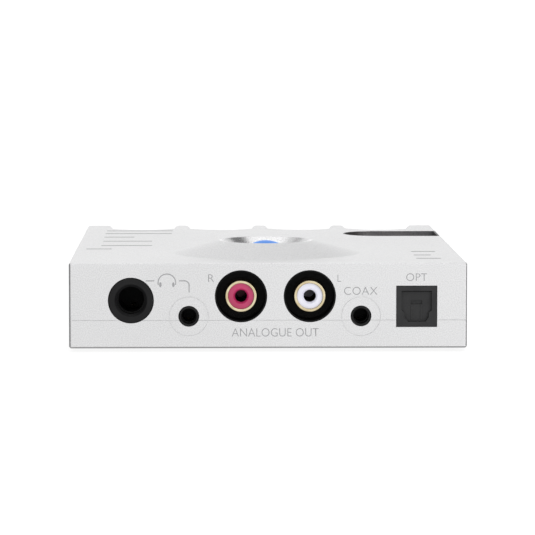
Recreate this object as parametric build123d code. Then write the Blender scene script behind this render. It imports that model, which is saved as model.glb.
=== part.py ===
from build123d import *
import os
from math import cos, pi, sin

# A desktop digital-to-analogue converter with a headphone amplifier, all in millimetres.
# +Z is up, +X is right as seen from the socket face, and the socket face looks towards -Y.
# The origin is on the table, under the middle of the case.

# ---- Driving dimensions -------------------------------------------------------------

# Case
CASE_WIDTH = 100.0
CASE_DEPTH = 130.0
CASE_HEIGHT = 21.5
FOOT_PROUD = 1.0
SEAM_ABOVE_BASE = 7.0
SIDE_WALL = 3.0
FRONT_WALL = 4.0
REAR_WALL = 2.5
FLOOR = 2.0
ROOF = 1.7
CORNER_RADIUS = 0.6
TOP_BEVEL = 0.3
BOTTOM_BEVEL = 0.4
SOCKET_WALL_REBATE = 0.5
SEAM_GROOVE = 0.16
SEAM_GROOVE_DEPTH = 0.35

BASE = FOOT_PROUD
TOP = BASE + CASE_HEIGHT
SEAM = BASE + SEAM_ABOVE_BASE
CEILING = TOP - ROOF
FRONT = -CASE_DEPTH / 2
REAR = CASE_DEPTH / 2
HALF_WIDTH = CASE_WIDTH / 2
INSIDE_FRONT = FRONT + FRONT_WALL
INSIDE_REAR = REAR - REAR_WALL
INSIDE_X = HALF_WIDTH - SIDE_WALL
PAST = 2.0
FIT = 0.025

# Viewing window: a low cone on the roof with a crater that holds a glass dome
WINDOW_Y = FRONT + 34.0
CONE_RADIUS = 24.5
RIM_RADIUS = 12.35
CONE_RISE = 3.2
RIM_LAND = 0.4
RIM_ROUND = 0.15
CRATER_FLOOR_RADIUS = 7.7
CRATER_DEPTH = 3.1
LENS_RADIUS = 7.0
LENS_CURVATURE = 8.0
LENS_BELOW_RIM = 0.1
LENS_FLANGE_RADIUS = 9.0
GASKET_THICKNESS = 0.4
LENS_FLANGE = 1.2
RING_RADIUS = 11.6
RING_LIP = 1.2

# Volume ball in its scoop, which is open to the right side
VOLUME_X = 37.5
VOLUME_Y = FRONT + 98.0
VOLUME_BALL_RADIUS = 6.9
VOLUME_BELOW_TOP = 1.1
VOLUME_SCOOP_RADIUS = 9.5
VOLUME_SCOOP_END_X = 32.5
SCOOP_WALL = 1.5
WELL_LINER = 0.5
BALL_CLEARANCE = 0.4
AXLE_RADIUS = 0.8
AXLE_CLEARANCE = 0.05
BEARING_OFFSET = 9.0
BEARING_THICKNESS = 1.6
BEARING_TOP = 15.9
ENCODER_RADIUS = 3.5

VOLUME_Z = TOP - VOLUME_BELOW_TOP - VOLUME_BALL_RADIUS

# Four ball buttons in bays that are open to the rear
BUTTON_NAMES = ("filter_button", "input_button", "crossfeed_button", "power_button")
BUTTON_PITCH = 22.6
BUTTON_BALL_RADIUS = 6.3
BUTTON_BELOW_TOP = 1.2
BUTTON_TRAVEL = 0.5
BUTTON_FLANGE_RADIUS = 7.4
BUTTON_FLANGE = 1.2
BAY_RADIUS = 8.9
BAY_FLARE = 1.5
BAY_DEPTH = 17.4
BAY_BLOCK_UNDERSIDE = 11.6
BAY_BLOCK_START = REAR - 18.5

BUTTON_X = [(number - 1.5) * BUTTON_PITCH for number in range(4)]
BUTTON_Z = TOP - BUTTON_BELOW_TOP - BUTTON_BALL_RADIUS
BAY_CENTRE_Y = REAR - BAY_DEPTH + BAY_RADIUS + BAY_FLARE
BUTTON_Y = BAY_CENTRE_Y - 1.2

# Main board
BOARD_TOP = 6.3
BOARD_THICKNESS = 1.6
BOARD_EDGE = 0.6
BOARD_BOTTOM = BOARD_TOP - BOARD_THICKNESS
BOARD_SCREW_PLACES = [
    (-30.0, 36.0),
    (12.0, 36.0),
    (-10.0, -16.0),
    (10.0, -44.0),
    (-23.0, -44.0),
    (12.0, 8.0),
]

# Sockets of the front face: centre X and Z, then radii
LARGE_JACK_X, LARGE_JACK_Z = -34.45, 13.07
LARGE_JACK_BUSH_RADIUS = 5.75
LARGE_JACK_BORE_RADIUS = 3.25
LARGE_JACK_LENGTH = 31.5
SMALL_JACK_X, COAX_JACK_X, SMALL_JACK_Z = -19.94, 23.3, 9.1
SMALL_JACK_NOSE_RADIUS = 2.6
SMALL_JACK_BORE_RADIUS = 1.8
SMALL_JACK_LENGTH = 16.5
JACK_BORE_LENGTH = 6.0
JACK_LEAD_IN = 0.2
TURNED_RING_RADIUS = 4.9
TURNED_RING_WIDTH = 0.2
TURNED_RING_DEPTH = 0.3
RCA_RIGHT_X, RCA_LEFT_X, RCA_Z = -6.83, 10.44, 14.1
RCA_WELL_RADIUS = 6.55
RCA_WELL_WALL = 0.35
RCA_WELL_DEPTH = 7.5
RCA_BARREL_RADIUS = 4.15
RCA_LIP_RADIUS = 3.9
RCA_TAPER = 0.8
RCA_STEM_RADIUS = 3.7
RCA_STEM_LENGTH = 3.0
RCA_INSULATOR_RADIUS = 3.2
RCA_CONTACT_RADIUS = 1.55
RCA_BODY_HALF_WIDTH = 5.6
RCA_BODY_END = FRONT + 19.0

# Optical socket
OPTICAL_X, OPTICAL_Z = 37.3, 11.5
OPTICAL_WIDTH, OPTICAL_HEIGHT, OPTICAL_LENGTH = 10.3, 10.4, 13.5
OPTICAL_MOUTH_WIDTH = 7.6
OPTICAL_MOUTH_LOW, OPTICAL_MOUTH_HIGH = 7.6, 15.4
OPTICAL_LIP = 0.8
OPTICAL_CAVITY_DEPTH = 10.0
SHUTTER_THICKNESS = 0.8
SHUTTER_PIN_RADIUS = 0.35
SHUTTER_KNUCKLE_RADIUS = 0.65
SHUTTER_PIN_Y = FRONT + 1.9
SHUTTER_PIN_Z = 15.1

# Micro USB sockets of the rear face
USB_PLACES = {"usb_data_socket": 0.0, "usb_charge_socket": 22.6}
USB_WIDTH, USB_HEIGHT, USB_LENGTH = 7.6, 2.7, 5.6
USB_SHEET = 0.3
CHARGE_LIGHT_X, CHARGE_LIGHT_Z, CHARGE_LIGHT_RADIUS = 29.4, 7.65, 0.9

# Battery cells
CELL_INNER_X, CELL_WIDTH, CELL_LENGTH = 15.0, 30.0, 58.0
CELL_BOTTOM, CELL_TOP = 9.2, 18.8
CELL_STARTS = {"battery_cell_left": (-1, -30.0), "battery_cell_right": (1, -42.0)}

# Feet and case screws
FOOT_PLACES = [(x, y) for x in (-37.0, 37.0) for y in (-44.0, 44.0)]
FOOT_RADIUS = 4.5
FOOT_POCKET = 0.6
CASE_SCREW_PLACES = [(x, y) for x in (-45.0, 45.0) for y in (-46.0, 52.0)]
BOSS_RADIUS = 2.8
CASE_SCREW_RADIUS = 1.2
CASE_SCREW_HEAD_RADIUS = 2.2
CASE_SCREW_HEAD = 1.2
CASE_SCREW_END = 13.0

CENTRED = (Align.CENTER, Align.CENTER, Align.MIN)


# ---- Basic solids -------------------------------------------------------------------


def block(x_limits, y_limits, z_limits):
    """A box between three pairs of limits."""
    size = [high - low for low, high in (x_limits, y_limits, z_limits)]
    corner = Pos(x_limits[0], y_limits[0], z_limits[0])
    return corner * Box(*size, align=(Align.MIN, Align.MIN, Align.MIN))


def about(middle, half):
    """The two limits that lie half to each side of a middle."""
    return (middle - half, middle + half)


def upright(x, y, radius, z_low, z_high):
    """A cylinder that stands along Z."""
    return Pos(x, y, z_low) * Cylinder(radius, z_high - z_low, align=CENTRED)


def lying(x, z, radius, y_near, y_far):
    """A cylinder that lies along Y."""
    return Pos(x, y_near, z) * Rot(-90, 0, 0) * Cylinder(radius, y_far - y_near, align=CENTRED)


def sleeve(x, z, outer, inner, y_near, y_far):
    """A tube that lies along Y."""
    hole = lying(x, z, inner, y_near - PAST, y_far + PAST)
    return lying(x, z, outer, y_near, y_far) - hole


def crosswise(y, z, radius, x_low, x_high):
    """A cylinder that lies along X."""
    return Pos(x_low, y, z) * Rot(0, 90, 0) * Cylinder(radius, x_high - x_low, align=CENTRED)


def group(solids):
    """Separate solids kept together in one node."""
    return Compound(children=list(solids))


# ---- Case ---------------------------------------------------------------------------


def outer_case():
    """The closed outer form, with its rounded corners and bevelled edges."""
    form = block((-HALF_WIDTH, HALF_WIDTH), (FRONT, REAR), (BASE, TOP))
    form = fillet(form.edges().filter_by(Axis.Z), CORNER_RADIUS)
    form = chamfer(form.edges().group_by(Axis.Z)[-1], TOP_BEVEL)
    return chamfer(form.edges().group_by(Axis.Z)[0], BOTTOM_BEVEL)


def window_cone():
    """The low cone that stands on the roof, with its crater cut out."""
    cone = Pos(0, WINDOW_Y, TOP) * Cone(CONE_RADIUS, RIM_RADIUS, CONE_RISE, align=CENTRED)
    rim = TOP + CONE_RISE
    slope = (RIM_RADIUS - RIM_LAND - CRATER_FLOOR_RADIUS) / CRATER_DEPTH
    mouth = RIM_RADIUS - RIM_LAND + slope * PAST
    crater = Pos(0, WINDOW_Y, rim - CRATER_DEPTH) * Cone(
        CRATER_FLOOR_RADIUS, mouth, CRATER_DEPTH + PAST, align=CENTRED
    )
    cone = cone - crater
    rim_edges = cone.edges().filter_by(GeomType.CIRCLE).group_by(Axis.Z)[-1]
    return fillet(rim_edges, RIM_ROUND)


def bay_half_section():
    """Half of a bay's section: a quarter circle that flares out into the roof."""
    centre_z = TOP - BAY_FLARE
    diagonal = cos(pi / 4)
    bottom = (0, 0, centre_z - BAY_RADIUS)
    low_middle = (BAY_RADIUS * diagonal, 0, centre_z - BAY_RADIUS * diagonal)
    side = (BAY_RADIUS, 0, centre_z)
    flare_middle = (
        BAY_RADIUS + BAY_FLARE * (1 - diagonal),
        0,
        centre_z + BAY_FLARE * diagonal,
    )
    lip = (BAY_RADIUS + BAY_FLARE, 0, TOP)
    above_lip = (BAY_RADIUS + BAY_FLARE, 0, TOP + PAST)
    above_middle = (0, 0, TOP + PAST)
    outline = ThreePointArc(bottom, low_middle, side)
    outline += ThreePointArc(side, flare_middle, lip)
    outline += Polyline(lip, above_lip, above_middle, bottom)
    return make_face(outline.edges())


def bay_cutter(x):
    """The scooped bay around one button, open to the rear face."""
    half = bay_half_section()
    bowl = revolve(half, Axis.Z)
    run = REAR - BAY_CENTRE_Y + PAST
    trough = extrude(half, run, dir=(0, 1, 0))
    trough += extrude(mirror(half, Plane.YZ), run, dir=(0, 1, 0))
    return Pos(x, BAY_CENTRE_Y, 0) * (bowl + trough)


def volume_scoop(radius, x_end):
    """A half-round trough towards the right side, with a round inner end."""
    trough = crosswise(VOLUME_Y, TOP, radius, VOLUME_SCOOP_END_X, x_end)
    return trough + Pos(VOLUME_SCOOP_END_X, VOLUME_Y, TOP) * Sphere(radius)


def axle_relief():
    """The slot that lets the volume axle pass under the scoop."""
    half = AXLE_RADIUS + BALL_CLEARANCE
    return block(
        about(VOLUME_X, half),
        about(VOLUME_Y, BEARING_OFFSET + BEARING_THICKNESS),
        (BAY_BLOCK_UNDERSIDE - PAST, VOLUME_Z + half),
    )


def cavity():
    """The space inside the case, around the rear block, the scoop and the screw bosses."""
    space = block(
        (-INSIDE_X, INSIDE_X), (INSIDE_FRONT, INSIDE_REAR), (BASE + FLOOR, CEILING)
    )
    space -= block(
        (-HALF_WIDTH, HALF_WIDTH), (BAY_BLOCK_START, REAR), (BAY_BLOCK_UNDERSIDE, TOP)
    )
    space -= volume_scoop(VOLUME_SCOOP_RADIUS + SCOOP_WALL, HALF_WIDTH)
    for x, y in CASE_SCREW_PLACES:
        space -= upright(x, y, BOSS_RADIUS, BASE, CASE_SCREW_END + PAST)
    return space


def turned_ring(x):
    """The fine turned circle around a small jack."""
    outer = TURNED_RING_RADIUS + TURNED_RING_WIDTH / 2
    inner = TURNED_RING_RADIUS - TURNED_RING_WIDTH / 2
    return sleeve(x, SMALL_JACK_Z, outer, inner, FRONT - PAST, FRONT + TURNED_RING_DEPTH)


def optical_hole():
    """The square hole that the optical socket fills."""
    return block(
        about(OPTICAL_X, OPTICAL_WIDTH / 2 + FIT),
        (FRONT - PAST, INSIDE_FRONT + PAST),
        about(OPTICAL_Z, OPTICAL_HEIGHT / 2 + FIT),
    )


def front_holes():
    """Every hole of the socket face."""
    near, far = FRONT - PAST, INSIDE_FRONT + PAST
    holes = lying(LARGE_JACK_X, LARGE_JACK_Z, LARGE_JACK_BUSH_RADIUS + FIT, near, far)
    for x in (SMALL_JACK_X, COAX_JACK_X):
        holes += lying(x, SMALL_JACK_Z, SMALL_JACK_NOSE_RADIUS + FIT, near, far)
        holes += turned_ring(x)
    for x in (RCA_RIGHT_X, RCA_LEFT_X):
        holes += lying(x, RCA_Z, RCA_WELL_RADIUS + FIT, near, INSIDE_FRONT)
    return holes + optical_hole()


def usb_form(x, grow, y_near, y_far):
    """The round-cornered form of a micro USB socket, grown on every side."""
    z_low = BOARD_TOP - grow
    form = block(
        about(x, USB_WIDTH / 2 + grow), (y_near, y_far), (z_low, BOARD_TOP + USB_HEIGHT + grow)
    )
    return fillet(form.edges().filter_by(Axis.Y), 0.6 + grow)


def rear_holes():
    """The holes of the rear face, for the two USB sockets and the charge light."""
    near, far = INSIDE_REAR - PAST, REAR + PAST
    holes = lying(CHARGE_LIGHT_X, CHARGE_LIGHT_Z, CHARGE_LIGHT_RADIUS + FIT, near, far)
    for x in USB_PLACES.values():
        holes += usb_form(x, FIT, near, far)
    return holes


def whole_case():
    """Both halves of the case as one form, before it is parted at the seam."""
    case = outer_case() + window_cone()
    case -= cavity()
    case -= upright(0, WINDOW_Y, LENS_RADIUS + FIT, CEILING - PAST, TOP + PAST)
    crater_floor = TOP + CONE_RISE - CRATER_DEPTH
    case -= upright(0, WINDOW_Y, CRATER_FLOOR_RADIUS, crater_floor, TOP + CONE_RISE)
    for x in BUTTON_X:
        case -= bay_cutter(x)
        bore = BUTTON_BALL_RADIUS + BALL_CLEARANCE
        case -= upright(x, BUTTON_Y, bore, BAY_BLOCK_UNDERSIDE - PAST, TOP)
    case -= volume_scoop(VOLUME_SCOOP_RADIUS, HALF_WIDTH + PAST)
    ball_bore = VOLUME_BALL_RADIUS + BALL_CLEARANCE
    case -= upright(VOLUME_X, VOLUME_Y, ball_bore, BAY_BLOCK_UNDERSIDE - PAST, TOP)
    case -= axle_relief()
    return case - front_holes() - rear_holes()


def seam_groove():
    """The fine shadow groove that runs round the case where its halves meet."""
    limits = (SEAM, SEAM + SEAM_GROOVE)
    around = block(about(0, HALF_WIDTH + PAST), about(0, REAR + PAST), limits)
    inner = block(
        about(0, HALF_WIDTH - SEAM_GROOVE_DEPTH), about(0, REAR - SEAM_GROOVE_DEPTH), limits
    )
    return around - inner


def upper_case(case):
    """The case above the seam: roof, walls, rear block and screw bosses."""
    upper = block(about(0, CASE_WIDTH), about(0, CASE_DEPTH), (SEAM, TOP + CONE_RISE + PAST))
    shell = (case & upper) - seam_groove()
    for x, y in CASE_SCREW_PLACES:
        shell -= upright(x, y, CASE_SCREW_RADIUS + FIT, SEAM - PAST, CASE_SCREW_END)
    for x, y in window_screw_places():
        shell -= upright(x, y, WINDOW_SCREW_RADIUS + FIT, CEILING - PAST, WINDOW_SCREW_TOP)
    return shell


def socket_wall_room():
    """The room of the socket wall: between the flanks, from the seam up into the roof."""
    top = CEILING + SOCKET_WALL_REBATE
    return block(about(0, INSIDE_X), (FRONT - PAST, INSIDE_FRONT), (SEAM, top))


def base_tray(case):
    """The base tray, with its screw holes and the shallow pockets of its feet."""
    lower = block(about(0, CASE_WIDTH), about(0, CASE_DEPTH), (0, SEAM))
    tray = case & lower
    for x, y in FOOT_PLACES:
        tray -= upright(x, y, FOOT_RADIUS + FIT, 0, BASE + FOOT_POCKET)
    for x, y in CASE_SCREW_PLACES:
        tray -= upright(x, y, CASE_SCREW_RADIUS + FIT, 0, SEAM + PAST)
        tray -= case_screw_head(x, y, FIT)
    return tray


def case_screw_head(x, y, grow):
    """The countersunk head of one case screw, or its seat when grown."""
    return Pos(x, y, BASE) * Cone(
        CASE_SCREW_HEAD_RADIUS + grow, CASE_SCREW_RADIUS + grow, CASE_SCREW_HEAD, align=CENTRED
    )


def case_screw(x, y):
    """One countersunk case screw with its cross recess."""
    shank = upright(x, y, CASE_SCREW_RADIUS, BASE + CASE_SCREW_HEAD, CASE_SCREW_END - 0.5)
    screw = case_screw_head(x, y, 0) + shank
    slot_length, slot_width, slot_depth = 1.1, 0.25, 0.7
    depth = (BASE - PAST, BASE + slot_depth)
    screw -= block(about(x, slot_length), about(y, slot_width), depth)
    return screw - block(about(x, slot_width), about(y, slot_length), depth)


def rubber_foot(x, y):
    """One round foot with a softened lower edge, set into its pocket."""
    foot = upright(x, y, FOOT_RADIUS, 0, BASE + FOOT_POCKET)
    return fillet(foot.edges().group_by(Axis.Z)[0], 0.3)


# ---- Viewing window -----------------------------------------------------------------

WINDOW_SCREW_RADIUS = 0.6
WINDOW_SCREW_CIRCLE = 10.3
WINDOW_SCREW_TOP = CEILING + 2.4
FLANGE_TOP = CEILING - GASKET_THICKNESS
FLANGE_BOTTOM = FLANGE_TOP - LENS_FLANGE
RING_BOTTOM = FLANGE_BOTTOM - RING_LIP


def window_screw_places():
    """The three screws of the window's retaining ring, evenly spaced."""
    angles = [2 * pi * number / 3 + pi / 2 for number in range(3)]
    return [
        (WINDOW_SCREW_CIRCLE * cos(angle), WINDOW_Y + WINDOW_SCREW_CIRCLE * sin(angle))
        for angle in angles
    ]


def window_lens():
    """The glass dome, with a short neck and a flange that seats from below."""
    apex = TOP + CONE_RISE - LENS_BELOW_RIM
    ball = Pos(0, WINDOW_Y, apex - LENS_CURVATURE) * Sphere(LENS_CURVATURE)
    neck = upright(0, WINDOW_Y, LENS_RADIUS, FLANGE_BOTTOM, apex + PAST)
    flange = upright(0, WINDOW_Y, LENS_FLANGE_RADIUS, FLANGE_BOTTOM, FLANGE_TOP)
    return (ball & neck) + flange


def window_gasket():
    """The flat ring gasket between the lens flange and the roof."""
    ring = upright(0, WINDOW_Y, LENS_FLANGE_RADIUS, FLANGE_TOP, CEILING)
    return ring - upright(0, WINDOW_Y, LENS_RADIUS + 0.3, FLANGE_TOP, CEILING)


def window_retaining_ring():
    """The ring that is screwed to the roof and holds the lens up."""
    ring = upright(0, WINDOW_Y, RING_RADIUS, RING_BOTTOM, CEILING)
    ring -= upright(0, WINDOW_Y, LENS_FLANGE_RADIUS + FIT, FLANGE_BOTTOM, CEILING)
    ring -= upright(0, WINDOW_Y, LENS_RADIUS - 0.5, RING_BOTTOM, FLANGE_BOTTOM)
    for x, y in window_screw_places():
        ring -= upright(x, y, WINDOW_SCREW_RADIUS + FIT, RING_BOTTOM - PAST, CEILING)
    return ring


def window_screw(x, y):
    """One pan-head screw of the retaining ring."""
    head = upright(x, y, 1.1, RING_BOTTOM - 0.8, RING_BOTTOM)
    return head + upright(x, y, WINDOW_SCREW_RADIUS, RING_BOTTOM, WINDOW_SCREW_TOP - 0.3)


def light_guide():
    """The clear horn that carries the status light from the board up to the lens."""
    low, high = BOARD_TOP + 1.1, RING_BOTTOM + 0.8
    horn = Pos(0, WINDOW_Y, low + 2.0) * Cone(3.2, 6.2, high - low - 2.0, align=CENTRED)
    return horn + upright(0, WINDOW_Y, 3.2, low, low + 2.0)


def status_led(x, y):
    """One light-emitting diode under the light guide."""
    return block(about(x, 0.8), about(y, 0.8), (BOARD_TOP, BOARD_TOP + 0.8))


# ---- Volume control -----------------------------------------------------------------


def volume_ball():
    """The rolling ball, bored for its axle."""
    ball = Pos(VOLUME_X, VOLUME_Y, VOLUME_Z) * Sphere(VOLUME_BALL_RADIUS)
    reach = VOLUME_BALL_RADIUS + PAST
    return ball - lying(
        VOLUME_X, VOLUME_Z, AXLE_RADIUS + FIT, VOLUME_Y - reach, VOLUME_Y + reach
    )


AXLE_NEAR_END = VOLUME_Y - 14.1
AXLE_FAR_END = VOLUME_Y + 10.9


def volume_axle():
    """The steel axle of the ball, across the scoop."""
    axle = lying(VOLUME_X, VOLUME_Z, AXLE_RADIUS, AXLE_NEAR_END, AXLE_FAR_END)
    return chamfer(axle.edges().filter_by(GeomType.CIRCLE), 0.2)


def volume_well():
    """The dark liner of the scoop, closed at the flank and open round the ball."""
    inner = VOLUME_SCOOP_RADIUS - WELL_LINER
    end = HALF_WIDTH - 0.3
    liner = volume_scoop(VOLUME_SCOOP_RADIUS - FIT, end)
    liner -= volume_scoop(inner, end - WELL_LINER)
    liner &= block((0, HALF_WIDTH), (0, REAR), (0, TOP - 0.05))
    ball_bore = VOLUME_BALL_RADIUS + BALL_CLEARANCE
    liner -= upright(VOLUME_X, VOLUME_Y, ball_bore, BAY_BLOCK_UNDERSIDE - PAST, TOP)
    return liner - axle_relief()


def volume_bracket():
    """The two bearings of the axle, joined by a foot on the board."""
    half_x, foot_height = 3.2, 0.9
    end = BEARING_OFFSET + BEARING_THICKNESS
    bracket = block(
        about(VOLUME_X, half_x), about(VOLUME_Y, end), (BOARD_TOP, BOARD_TOP + foot_height)
    )
    for side in (-1, 1):
        middle = VOLUME_Y + side * (BEARING_OFFSET + BEARING_THICKNESS / 2)
        bracket += block(
            about(VOLUME_X, half_x), about(middle, BEARING_THICKNESS / 2), (BOARD_TOP, BEARING_TOP)
        )
    hole = AXLE_RADIUS + AXLE_CLEARANCE
    return bracket - lying(VOLUME_X, VOLUME_Z, hole, VOLUME_Y - end - PAST, VOLUME_Y + end + PAST)


ENCODER_NEAR = VOLUME_Y - 13.8
ENCODER_FAR = ENCODER_NEAR + 0.8


def volume_encoder_disc():
    """The perforated disc that the sensor counts, fixed to the axle."""
    disc = sleeve(
        VOLUME_X, VOLUME_Z, ENCODER_RADIUS, AXLE_RADIUS + FIT, ENCODER_NEAR, ENCODER_FAR
    )
    holes, circle, radius = 10, 2.7, 0.4
    for number in range(holes):
        angle = 2 * pi * number / holes
        x = VOLUME_X + circle * cos(angle)
        z = VOLUME_Z + circle * sin(angle)
        disc -= lying(x, z, radius, ENCODER_NEAR - PAST, ENCODER_FAR + PAST)
    return disc


def volume_encoder_sensor():
    """The forked light sensor that the disc runs through."""
    middle = (ENCODER_NEAR + ENCODER_FAR) / 2
    half_gap, arm, half_x, top = 0.8, 1.0, 2.2, VOLUME_Z - 1.7
    sensor = block(about(VOLUME_X, half_x), about(middle, half_gap + arm), (BOARD_TOP, top))
    gap_bottom = VOLUME_Z - ENCODER_RADIUS - 0.6
    return sensor - block(
        about(VOLUME_X, half_x + PAST), about(middle, half_gap), (gap_bottom, top + PAST)
    )


# ---- Buttons ------------------------------------------------------------------------


def ball_button(x):
    """One ball button with the flange that keeps it in its bore."""
    ball = Pos(x, BUTTON_Y, BUTTON_Z) * Sphere(BUTTON_BALL_RADIUS)
    top = BAY_BLOCK_UNDERSIDE - 0.05
    flange = upright(x, BUTTON_Y, BUTTON_FLANGE_RADIUS, top - BUTTON_FLANGE, top)
    reach = about(x, BUTTON_FLANGE_RADIUS)
    return ball + (flange & block(reach, (0, INSIDE_REAR - 0.3), (0, TOP)))


def button_switch(x):
    """One tactile switch on the board, with its plunger just under the ball."""
    half, height, plunger_radius = 2.3, 1.3, 1.2
    gap = 0.06
    plunger_top = BUTTON_Z - BUTTON_BALL_RADIUS - BUTTON_TRAVEL - gap
    body = block(about(x, half), about(BUTTON_Y, half), (BOARD_TOP, BOARD_TOP + height))
    return body + upright(x, BUTTON_Y, plunger_radius, BOARD_TOP, plunger_top)


# ---- Sockets ------------------------------------------------------------------------


def jack_cavity(x, z, bore, chamber, length):
    """The space in a jack: a lead-in, the gauged bore and the chamber of its contacts."""
    bore_end = INSIDE_FRONT + JACK_BORE_LENGTH
    space = lying(x, z, bore + JACK_LEAD_IN, FRONT - PAST, INSIDE_FRONT)
    space += lying(x, z, bore, INSIDE_FRONT, bore_end)
    return space + lying(x, z, chamber, bore_end, FRONT + length)


LARGE_JACK_CHAMBER = 4.7
SMALL_JACK_CHAMBER = 2.3
JACK_BACK = 1.2
PROUD_OF_FACE = 0.1


def large_jack_body():
    """The moulded body of the large headphone jack."""
    half_x, height = 7.4, 13.9
    body = block(
        about(LARGE_JACK_X, half_x),
        (INSIDE_FRONT, FRONT + LARGE_JACK_LENGTH + JACK_BACK),
        (BOARD_TOP, BOARD_TOP + height),
    )
    return body - jack_cavity(
        LARGE_JACK_X, LARGE_JACK_Z, LARGE_JACK_BORE_RADIUS, LARGE_JACK_CHAMBER, LARGE_JACK_LENGTH
    )


def large_jack_bush():
    """The collar of the large jack, a little proud of the face and dished round its mouth."""
    lead_in = LARGE_JACK_BORE_RADIUS + JACK_LEAD_IN
    face = FRONT - PROUD_OF_FACE
    bush = sleeve(
        LARGE_JACK_X, LARGE_JACK_Z, LARGE_JACK_BUSH_RADIUS, lead_in, face, INSIDE_FRONT
    )
    mouth_radius, mouth_depth = 4.1, 0.7
    mouth = Pos(LARGE_JACK_X, face, LARGE_JACK_Z) * Rot(-90, 0, 0) * Cone(
        mouth_radius, lead_in, mouth_depth, align=CENTRED
    )
    bush -= mouth
    outer_edge = bush.edges().filter_by(GeomType.CIRCLE).sort_by(SortBy.RADIUS)[-2:]
    return chamfer(outer_edge.sort_by(Axis.Y)[0], 0.25)


def small_jack_body(x):
    """A moulded 3.5 mm jack with the nose that fills its hole in the face."""
    half_x, height = 3.2, 5.7
    body = block(
        about(x, half_x),
        (INSIDE_FRONT, FRONT + SMALL_JACK_LENGTH + JACK_BACK),
        (BOARD_TOP, BOARD_TOP + height),
    )
    nose = lying(x, SMALL_JACK_Z, SMALL_JACK_NOSE_RADIUS, FRONT, INSIDE_FRONT)
    nose = chamfer(nose.edges().filter_by(GeomType.CIRCLE).sort_by(Axis.Y)[0], 0.2)
    return body + nose - jack_cavity(
        x, SMALL_JACK_Z, SMALL_JACK_BORE_RADIUS, SMALL_JACK_CHAMBER, SMALL_JACK_LENGTH
    )


def jack_contacts(x, z, bore, length):
    """The spring leaves of a jack, spread round its chamber."""
    start = INSIDE_FRONT + JACK_BORE_LENGTH + 0.4
    reach = (FRONT + length - start) / 3
    leaves = []
    for number, turn in enumerate((0, 90, 180)):
        near = start + number * reach
        leaf = block(
            about(0, 0.5), (near, near + reach - 0.6), (bore + 0.1, bore + 0.35)
        )
        leaves.append(Pos(x, 0, z) * Rot(0, turn, 0) * leaf)
    return group(leaves)


def rca_housing(x):
    """The black well of one phono socket and its block on the board."""
    floor = FRONT + RCA_WELL_DEPTH
    well = sleeve(
        x, RCA_Z, RCA_WELL_RADIUS, RCA_WELL_RADIUS - RCA_WELL_WALL, FRONT + 0.1, floor
    )
    body = block(
        about(x, RCA_BODY_HALF_WIDTH), (floor + 1.0, RCA_BODY_END), (BOARD_TOP, CEILING - 0.3)
    )
    back = lying(x, RCA_Z, RCA_WELL_RADIUS, floor, floor + 1.0)
    bore = lying(x, RCA_Z, RCA_STEM_RADIUS + FIT, FRONT, floor + RCA_STEM_LENGTH)
    core = lying(x, RCA_Z, RCA_INSULATOR_RADIUS + FIT, FRONT, RCA_BODY_END - 1.5)
    return well + back + body - bore - core


def rca_barrel(x):
    """The gilt outer contact of one phono socket, with its tapered lip and its stem."""
    face = FRONT + 0.05
    shoulder = face + RCA_TAPER
    floor = FRONT + RCA_WELL_DEPTH
    inner = RCA_INSULATOR_RADIUS + FIT
    lip = Pos(x, face, RCA_Z) * Rot(-90, 0, 0) * Cone(
        RCA_LIP_RADIUS, RCA_BARREL_RADIUS, RCA_TAPER, align=CENTRED
    )
    barrel = lip - lying(x, RCA_Z, inner, FRONT, shoulder)
    barrel += sleeve(x, RCA_Z, RCA_BARREL_RADIUS, inner, shoulder, floor)
    barrel += sleeve(x, RCA_Z, RCA_STEM_RADIUS, inner, floor, floor + RCA_STEM_LENGTH)
    front_edges = barrel.edges().filter_by(GeomType.CIRCLE).group_by(Axis.Y)[0]
    return fillet(front_edges, 0.15)


def rca_insulator(x):
    """The coloured core of one phono socket, with a dished mouth."""
    core = lying(x, RCA_Z, RCA_INSULATOR_RADIUS, FRONT + 0.5, RCA_BODY_END - 2.0)
    core -= lying(x, RCA_Z, RCA_CONTACT_RADIUS, FRONT, FRONT + 2.0)
    core -= lying(x, RCA_Z, RCA_CONTACT_RADIUS + 0.4, FRONT + 2.0, RCA_BODY_END - 3.0)
    mouth = Pos(x, FRONT + 0.5, RCA_Z) * Rot(-90, 0, 0) * Cone(
        RCA_CONTACT_RADIUS + 0.4, RCA_CONTACT_RADIUS, 0.5, align=CENTRED
    )
    return core - mouth


def rca_centre_contact(x):
    """The gilt sleeve that takes the plug's centre pin."""
    outer = RCA_CONTACT_RADIUS + 0.4 - FIT
    return sleeve(
        x, RCA_Z, outer, RCA_CONTACT_RADIUS + 0.1, FRONT + 2.0 + FIT, RCA_BODY_END - 4.0
    )


def optical_mouth():
    """The opening in the optical socket's face, with stepped and chamfered lower corners."""
    half = OPTICAL_MOUTH_WIDTH / 2
    step, step_height, step_z = 0.75, 0.55, OPTICAL_MOUTH_LOW + 2.3
    cut, cut_height = 0.9, 1.1
    x = OPTICAL_X
    right = [
        (x + half, 0, OPTICAL_MOUTH_HIGH),
        (x + half, 0, step_z + step_height),
        (x + half - step, 0, step_z),
        (x + half - step, 0, OPTICAL_MOUTH_LOW + cut_height),
        (x + half - step - cut, 0, OPTICAL_MOUTH_LOW),
    ]
    left = [(2 * x - px, 0, pz) for px, _, pz in reversed(right)]
    face = make_face(Polyline(*right, *left, close=True).edges())
    return Pos(0, FRONT - PAST, 0) * extrude(face, PAST + OPTICAL_LIP + FIT, dir=(0, 1, 0))


OPTICAL_CAVITY_HALF = OPTICAL_MOUTH_WIDTH / 2 + 0.35
OPTICAL_CAVITY_LOW = OPTICAL_MOUTH_LOW - 0.3
OPTICAL_CAVITY_HIGH = OPTICAL_MOUTH_HIGH + 0.6


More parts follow.
